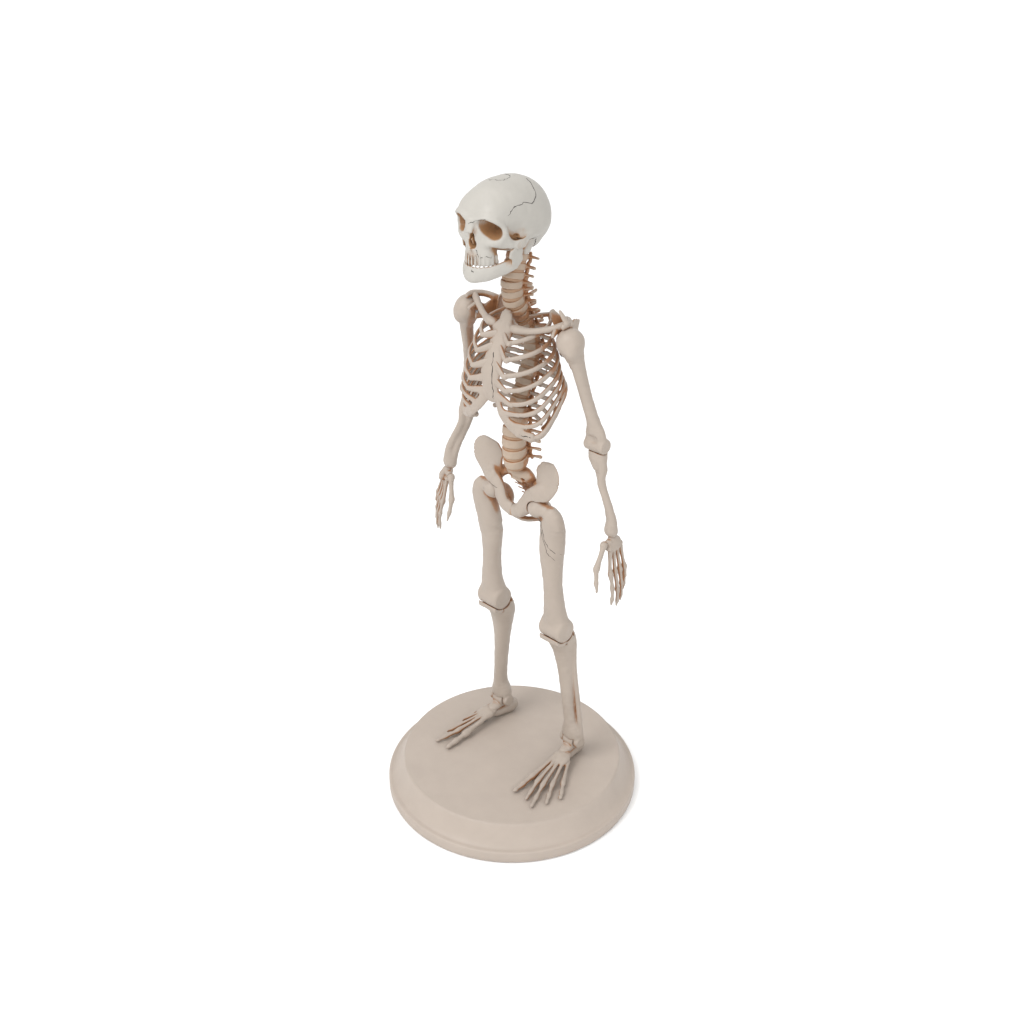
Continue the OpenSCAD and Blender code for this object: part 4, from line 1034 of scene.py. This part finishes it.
RAYS = [[[34.5, 12, 33], [34.4, -14, 29], [34.4, -33.5, 27], 2.5],
        [[36.8, 11, 33.6], [41, -16, 29], [46, -33.5, 26.6], 1.9],
        [[38.8, 11, 33], [46, -16, 28.6], [54, -36.5, 26.6], 1.8],
        [[41, 12, 32], [50.5, -11, 28.4], [59.2, -26.8, 26.5], 1.8],
        [[43, 14, 30.4], [54.5, -4, 28], [63.2, -16.4, 26.5], 1.8]]


def ankle_bone(side):
    a = ANKLE
    keys = offset(a, [(0, 1, -3, 4, 4.4), (0.4, -6, -5, 4, 3.2), (1, -10, -6, 3.4, 2.8)])
    clay = Clay(*around(mirrored(keys, side), 9), 0.5)
    clay.limb(mirrored(keys, side), X_AXIS, 0.5)
    clay.drum(mirrored(a, side), X_AXIS, 6, 4.5, 1.2, 1)
    clay.slab((0, 0, a[2] - 9), (0, 0, -1), 0.6)
    return clay


def heel(side):
    keys = [(36.6, 17, 29.6, 2.6, 2.6), (36.2, 21, 29.6, 3.8, 4), (35.4, 27, 29.8, 4.2, 4.6),
            (34.6, 32, 30.4, 5.2, 5.8), (34.2, 36, 30.6, 4.2, 4.6), (34, 37.6, 30.6, 1.5, 1.5)]
    clay = Clay(*around(mirrored(keys, side), 7), 0.5)
    clay.limb(mirrored(keys, side), X_AXIS, 0.5)
    clay.slab((0, 0, BASE_TOP), (0, 0, -1), 0.5)
    return clay


def toes(side):
    clay = Clay(mirrored_low((28, -42, 22), side), mirrored_high((68, 24, 40), side), 0.45)
    for keys in ([(36.8, 17.6, 33.6, 4, 3), (38.4, 12.5, 32.6, 6.4, 3.8), (38.8, 8, 31.6, 6, 3)],):
        clay.limb(mirrored(keys, side), X_AXIS, 0.5)
    for root, ball, tip, r in RAYS:
        p, b, t = vec(*root), vec(*ball), vec(*tip)
        keys = [list(p) + [r], list(p * 0.7 + b * 0.3) + [r * 0.72], list(p * 0.3 + b * 0.7) + [r * 0.72],
                list(b) + [r * 1.1],
                list(b * 0.85 + t * 0.15) + [r * 0.8], list(b * 0.6 + t * 0.4) + [r * 0.7],
                list(b * 0.45 + t * 0.55) + [r * 0.92], list(b * 0.2 + t * 0.8) + [r * 0.62],
                list(b * 0.1 + t * 0.9) + [r * 0.72], list(t) + [r * 0.38]]
        clay.limb(mirrored(keys, side), Z_AXIS, 0.8, steps=3)
    clay.slab((0, 0, BASE_TOP), (0, 0, -1), 0.4)
    return clay


# ---------- Stand ----------


def stand(material):
    """The stepped base, turned as a fine profile with a soft roll at the rim."""
    low, high = corners("base_shell")
    rim = high[0]
    profile = [(0, high[2]), (40, high[2]), (70, high[2]), (78, high[2] - 0.1)]
    step, edge = 79.2, rim - 2.4
    for t in np.linspace(0, 1, 14):
        profile.append((step + (edge - step) * t, 9.5 + (high[2] - 9.5) * (1 - t) ** 1.7))
    for a in np.linspace(80, 0, 8):
        profile.append((rim - 2.4 + 2.4 * math.cos(math.radians(a)), 8.3 + 1.2 * math.sin(math.radians(a))))
    profile += [(rim, 4.5), (rim, 1.6), (rim - 0.3, 0.9), (rim - 1, low[2]), (rim - 5, low[2] + 0.2),
                (rim - 6, 2.5)]
    profile = np.array(profile)
    count = 192
    angles = np.arange(count) * 2 * math.pi / count
    rings = profile[1:]
    points = np.concatenate([[(0, 0, profile[0][1])],
                             np.concatenate([np.column_stack([r * np.cos(angles), r * np.sin(angles),
                                                              np.full(count, z)]) for r, z in rings])])
    faces = []
    for j in range(count):
        faces.append([0, 1 + j, 1 + (j + 1) % count, 0])
    mesh = bpy.data.meshes.new("stand_cover")
    quads = [[1 + i * count + j, 1 + (i + 1) * count + j, 1 + (i + 1) * count + (j + 1) % count,
              1 + i * count + (j + 1) % count] for i in range(len(rings) - 1) for j in range(count)]
    mesh.from_pydata((points * MM).tolist(), [], [f[:3] for f in faces] + quads)
    mesh.shade_smooth()
    obj = bpy.data.objects.new("stand_cover", mesh)
    bpy.context.scene.collection.objects.link(obj)
    return finish_piece(obj, "base", material, ["base_shell"])


# ---------- Making everything ----------

sculpt("skull_form", skull(), "head", ["skull"], SKULL, 0.06, 3)
sculpt("jaw_form", jaw(), "jaw", ["jaw"], SKULL, 0.05, 4)
# The spine's pieces take the warmer copy of the bone colour, painted warm shade
sculpt("cervical_form", cervical(), "torso", ["cervical_vertebrae"], SHADED_SPINE)
sculpt("thoracic_form", thoracic(), "torso", ["thoracic_vertebrae"], SHADED_SPINE)
sculpt("lumbar_form", lumbar(), "torso", ["lumbar_vertebrae"], SHADED_SPINE)
sculpt("discs_form", discs(), "torso", ["spine_discs"], AMBER)
sculpt("sacrum_form", sacrum(), "torso", ["sacrum"], SHADED_SPINE)
sculpt("sternum_form", sternum(), "torso", ["sternum"], BONE)
sculpt("pubic_disc_form", pubic_disc(), "torso", ["pubic_disc"], AMBER)
for label, hand in SIDES.items():
    for kind, shape, body in (
        ("ribs", ribs, "torso"), ("cartilage", cartilage, "torso"), ("clavicle", clavicle, "torso"),
        ("scapula", scapula, "torso"), ("hip_bone", hip_bone, "torso"),
        ("humerus", humerus, "upper_arm_" + label), ("forearm", forearm, "forearm_" + label),
        ("carpals", carpals, "hand_" + label), ("fingers", fingers, "hand_" + label),
        ("thumb", thumb, "hand_" + label), ("femur", femur, "thigh_" + label),
        ("tibia", tibia, "shin_" + label), ("knee_pad", knee_pad, "shin_" + label),
        ("ankle_bone", ankle_bone, "base"), ("heel", heel, "base"), ("toes", toes, "base"),
    ):
        node = f"{kind}_{label}"
        sculpt(node + "_form", shape(hand), body, [node], BONE, seed=len(node))
stand(STAND)

for node, obj in frame["nodes"].items():
    kind = STEEL
    if node == "base_pads":
        kind = RUBBER
    if node == "base_plate":
        kind = STAND
    obj.data.materials.clear()
    obj.data.materials.append(kind)


# ---------- Sutures and cracks ----------

# Dark hairlines on the outer surface: name, piece, half width and the landmarks they pass through
def on_vault(turn, rise):
    """A place on the skull's vault: degrees round from the front to the left, and degrees up."""
    turn, rise = math.radians(turn), math.radians(rise)
    middle = vec(0, -2.5, SKULL_TOP - 22)
    return middle + vec(22 * math.cos(rise) * math.sin(turn), -26 * math.cos(rise) * math.cos(turn),
                        22 * math.sin(rise))


def on_arch(t, z):
    """A place on the front of the dental arch at height z."""
    spot, _ = arch(t, 34.6, 10.8)
    return vec(spot[0], spot[1], z)


# Name, piece, half thickness, and the few places that the line bends at
CRACKS = [
    ("suture_crown", "skull_form", 0.2, [on_vault(40, 10), on_vault(60, 25), on_vault(95, 30),
                                         on_vault(130, 65)]),
    ("suture_nose", "skull_form", 0.13, [vec(0, -37, SKULL_TOP - 22), vec(12, -34, SKULL_TOP - 18)]),
    ("suture_top", "skull_form", 0.13, [on_vault(-20, 60), on_vault(20, 65), on_vault(60, 80),
                                        on_vault(-90, 80)]),
    ("suture_ear", "skull_form", 0.22, [on_vault(55, -25), on_vault(100, -30)]),
    ("suture_mastoid", "skull_form", 0.3, [on_vault(100, -35), on_vault(110, -50)]),
    ("crack_maxilla", "skull_form", 0.16, [on_arch(0.2, 413), on_arch(0.35, 409), on_arch(0.8, 409)]),
    ("crack_chin_right", "jaw_form", 0.2, [on_arch(-0.3, 400), on_arch(0.15, 397)]),
    ("crack_chin_left", "jaw_form", 0.2, [on_arch(0.1, 401), on_arch(0.4, 397)]),
    ("crack_sternum", "sternum_form", 0.26, [(0, -18, 345), (3, -20, 330), (3, -20, 315)]),
    ("crack_margin", "cartilage_left_form", 0.26, [MARGIN[1], MARGIN[2], MARGIN[3], MARGIN[4]]),
    ("crack_scapula", "scapula_left_form", 0.26, [SHOULDER + vec(-16, 6, -10), SHOULDER + vec(-16, 10,
        -18)]),
    ("crack_hip", "hip_bone_right_form", 0.16, [mirrored(HIP + vec(0, -5, 5), RIGHT),
                                                mirrored(HIP + vec(-8, -5, 5), RIGHT)]),
    ("crack_thigh_front", "femur_left_form", 0.18,
     [HIP + vec(4, -5, -5), HIP + vec(10, -5, -20), HIP + vec(16, 5, -30)]),
    ("crack_thigh_inner", "femur_left_form", 0.18,
     [HIP + vec(2, -2, -5), HIP + vec(10, -5, -25), HIP + vec(16, 0, -35)]),
]


def crack(name, piece, half, landmarks, seed):
    """A thin jagged tube, half sunk into the piece's surface."""
    target = bpy.data.objects[piece]
    tree = BVHTree.FromPolygons([v.co for v in target.data.vertices],
                                [tuple(p.vertices) for p in target.data.polygons])
    rng = np.random.default_rng(seed)
    path = spline([list(p) for p in landmarks], 9)
    path[1:-1] += rng.normal(0, 0.34, (len(path) - 2, 3))
    spots, ups = [], []
    for p in path:
        near, normal, _, _ = tree.find_nearest(Vector(p * MM))
        spots.append(np.array(near) / MM)
        ups.append(np.array(normal))
    points, quads = [], []
    corner_count = 6
    last = len(spots) - 1
    for i, (spot, up) in enumerate(zip(spots, ups)):
        along = unit(spots[min(i + 1, last)] - spots[max(i - 1, 0)] + 1e-6)
        across = unit(np.cross(up, along))
        wide = half * rng.uniform(0.35, 1.5) * (0.3 if i in (0, last) else 1)
        for k in range(corner_count):
            a = 2 * math.pi * k / corner_count
            points.append(spot + across * wide * math.cos(a) + up * min(wide, 0.16) * math.sin(a))
        if i:
            for k in range(corner_count):
                m = (k + 1) % corner_count
                quads.append([(i - 1) * corner_count + k, (i - 1) * corner_count + m, i * corner_count + m,
                              i * corner_count + k])
    obj = mesh_from(name, np.array(points), np.array(quads), 4)
    finish_piece(obj, PIECE_BODY[piece], INK, [])


for order, (label, piece, half, landmarks) in enumerate(CRACKS):
    crack(label, piece, half, landmarks, 40 + order)


# ---------- Shade of the neighbours ----------


def neighbour_shade():
    """Paints each sculpted piece with how much of the model stands in front of its surface."""
    cell = 2.5
    every = np.concatenate([points for _, points, _ in SCULPTED])
    low = every.min(0) - 20
    shape = np.ceil((every.max(0) + 20 - low) / cell).astype(int) + 1
    counts = np.zeros(shape)
    index = tuple(((every - low) / cell).astype(int).T)
    np.add.at(counts, index, 1)
    full = np.clip(counts / 8, 0, 1)
    for _ in range(3):
        for axis in range(3):
            full = (np.roll(full, 1, axis) + full + np.roll(full, -1, axis)) / 3
    for obj, points, normals in SCULPTED:
        total = np.zeros(len(points))
        for reach in (6, 10, 15, 21):
            q = np.clip(((points + normals * reach - low) / cell).astype(int), 0, shape - 1)
            total += full[tuple(q.T)]
        paint(obj, "shade", np.clip(total * 0.95 - 0.12, 0, 0.75))


neighbour_shade()


# ---------- Floor, light and camera ----------


def floor():
    size, drop = 3.0, 0.0
    mesh = bpy.data.meshes.new("floor")
    bend = [(-size, drop), (1.2, drop)] + [(1.2 + 0.8 * math.sin(math.radians(a)),
                                            0.8 - 0.8 * math.cos(math.radians(a))) for a in range(10, 91,
                                                10)]
    bend.append((2.0, 3.0))
    rows = [[(x, y, z) for x in (-size, size)] for y, z in bend]
    points = [p for row in rows for p in row]
    quads = [[2 * i, 2 * i + 1, 2 * i + 3, 2 * i + 2] for i in range(len(rows) - 1)]
    mesh.from_pydata(points, [], quads)
    obj = bpy.data.objects.new("floor", mesh)
    obj.rotation_euler = (0, 0, math.radians(44))
    bpy.context.scene.collection.objects.link(obj)
    material, tree, base = shader("floor_white")
    tone = ramp(tree, noise(tree, 3), [(0.0, (0.93, 0.93, 0.93)), (1.0, (0.95, 0.95, 0.95))])
    tree.links.new(tone, base.inputs["Base Color"])
    base.inputs["Roughness"].default_value = 0.9
    mesh.materials.append(material)


def area_light(name, place, aim, power, size):
    light = bpy.data.lights.new(name, "AREA")
    light.energy = power
    light.size = size
    obj = bpy.data.objects.new(name, light)
    obj.location = place
    obj.rotation_euler = (Vector(aim) - Vector(place)).to_track_quat("-Z", "Y").to_euler()
    bpy.context.scene.collection.objects.link(obj)


def camera():
    azimuth, height, distance = math.radians(44.12), math.radians(28.83), 0.8497
    target = Vector((0, 0, 0.2259))
    way_out = Vector((math.sin(azimuth) * math.cos(height), -math.cos(azimuth) * math.cos(height),
                      math.sin(height)))
    data = bpy.data.cameras.new("camera")
    data.lens = 44.9
    data.sensor_width = 36
    obj = bpy.data.objects.new("camera", data)
    obj.location = target + way_out * distance
    obj.rotation_euler = (-way_out).to_track_quat("-Z", "Y").to_euler()
    bpy.context.scene.collection.objects.link(obj)
    bpy.context.scene.camera = obj


floor()
world = bpy.data.worlds.new("studio")
bpy.context.scene.world = world
world.use_nodes = True
world.node_tree.nodes["Background"].inputs["Color"].default_value = (1, 1, 1, 1)
world.node_tree.nodes["Background"].inputs["Strength"].default_value = 1.0
area_light("key", (-0.2, -1.1, 1.5), (0, 0, 0.2), 18, 0.9)
area_light("fill", (1.3, -0.6, 0.9), (0, 0, 0.2), 6, 1.2)
camera()
bpy.context.scene.view_settings.view_transform = "Standard"
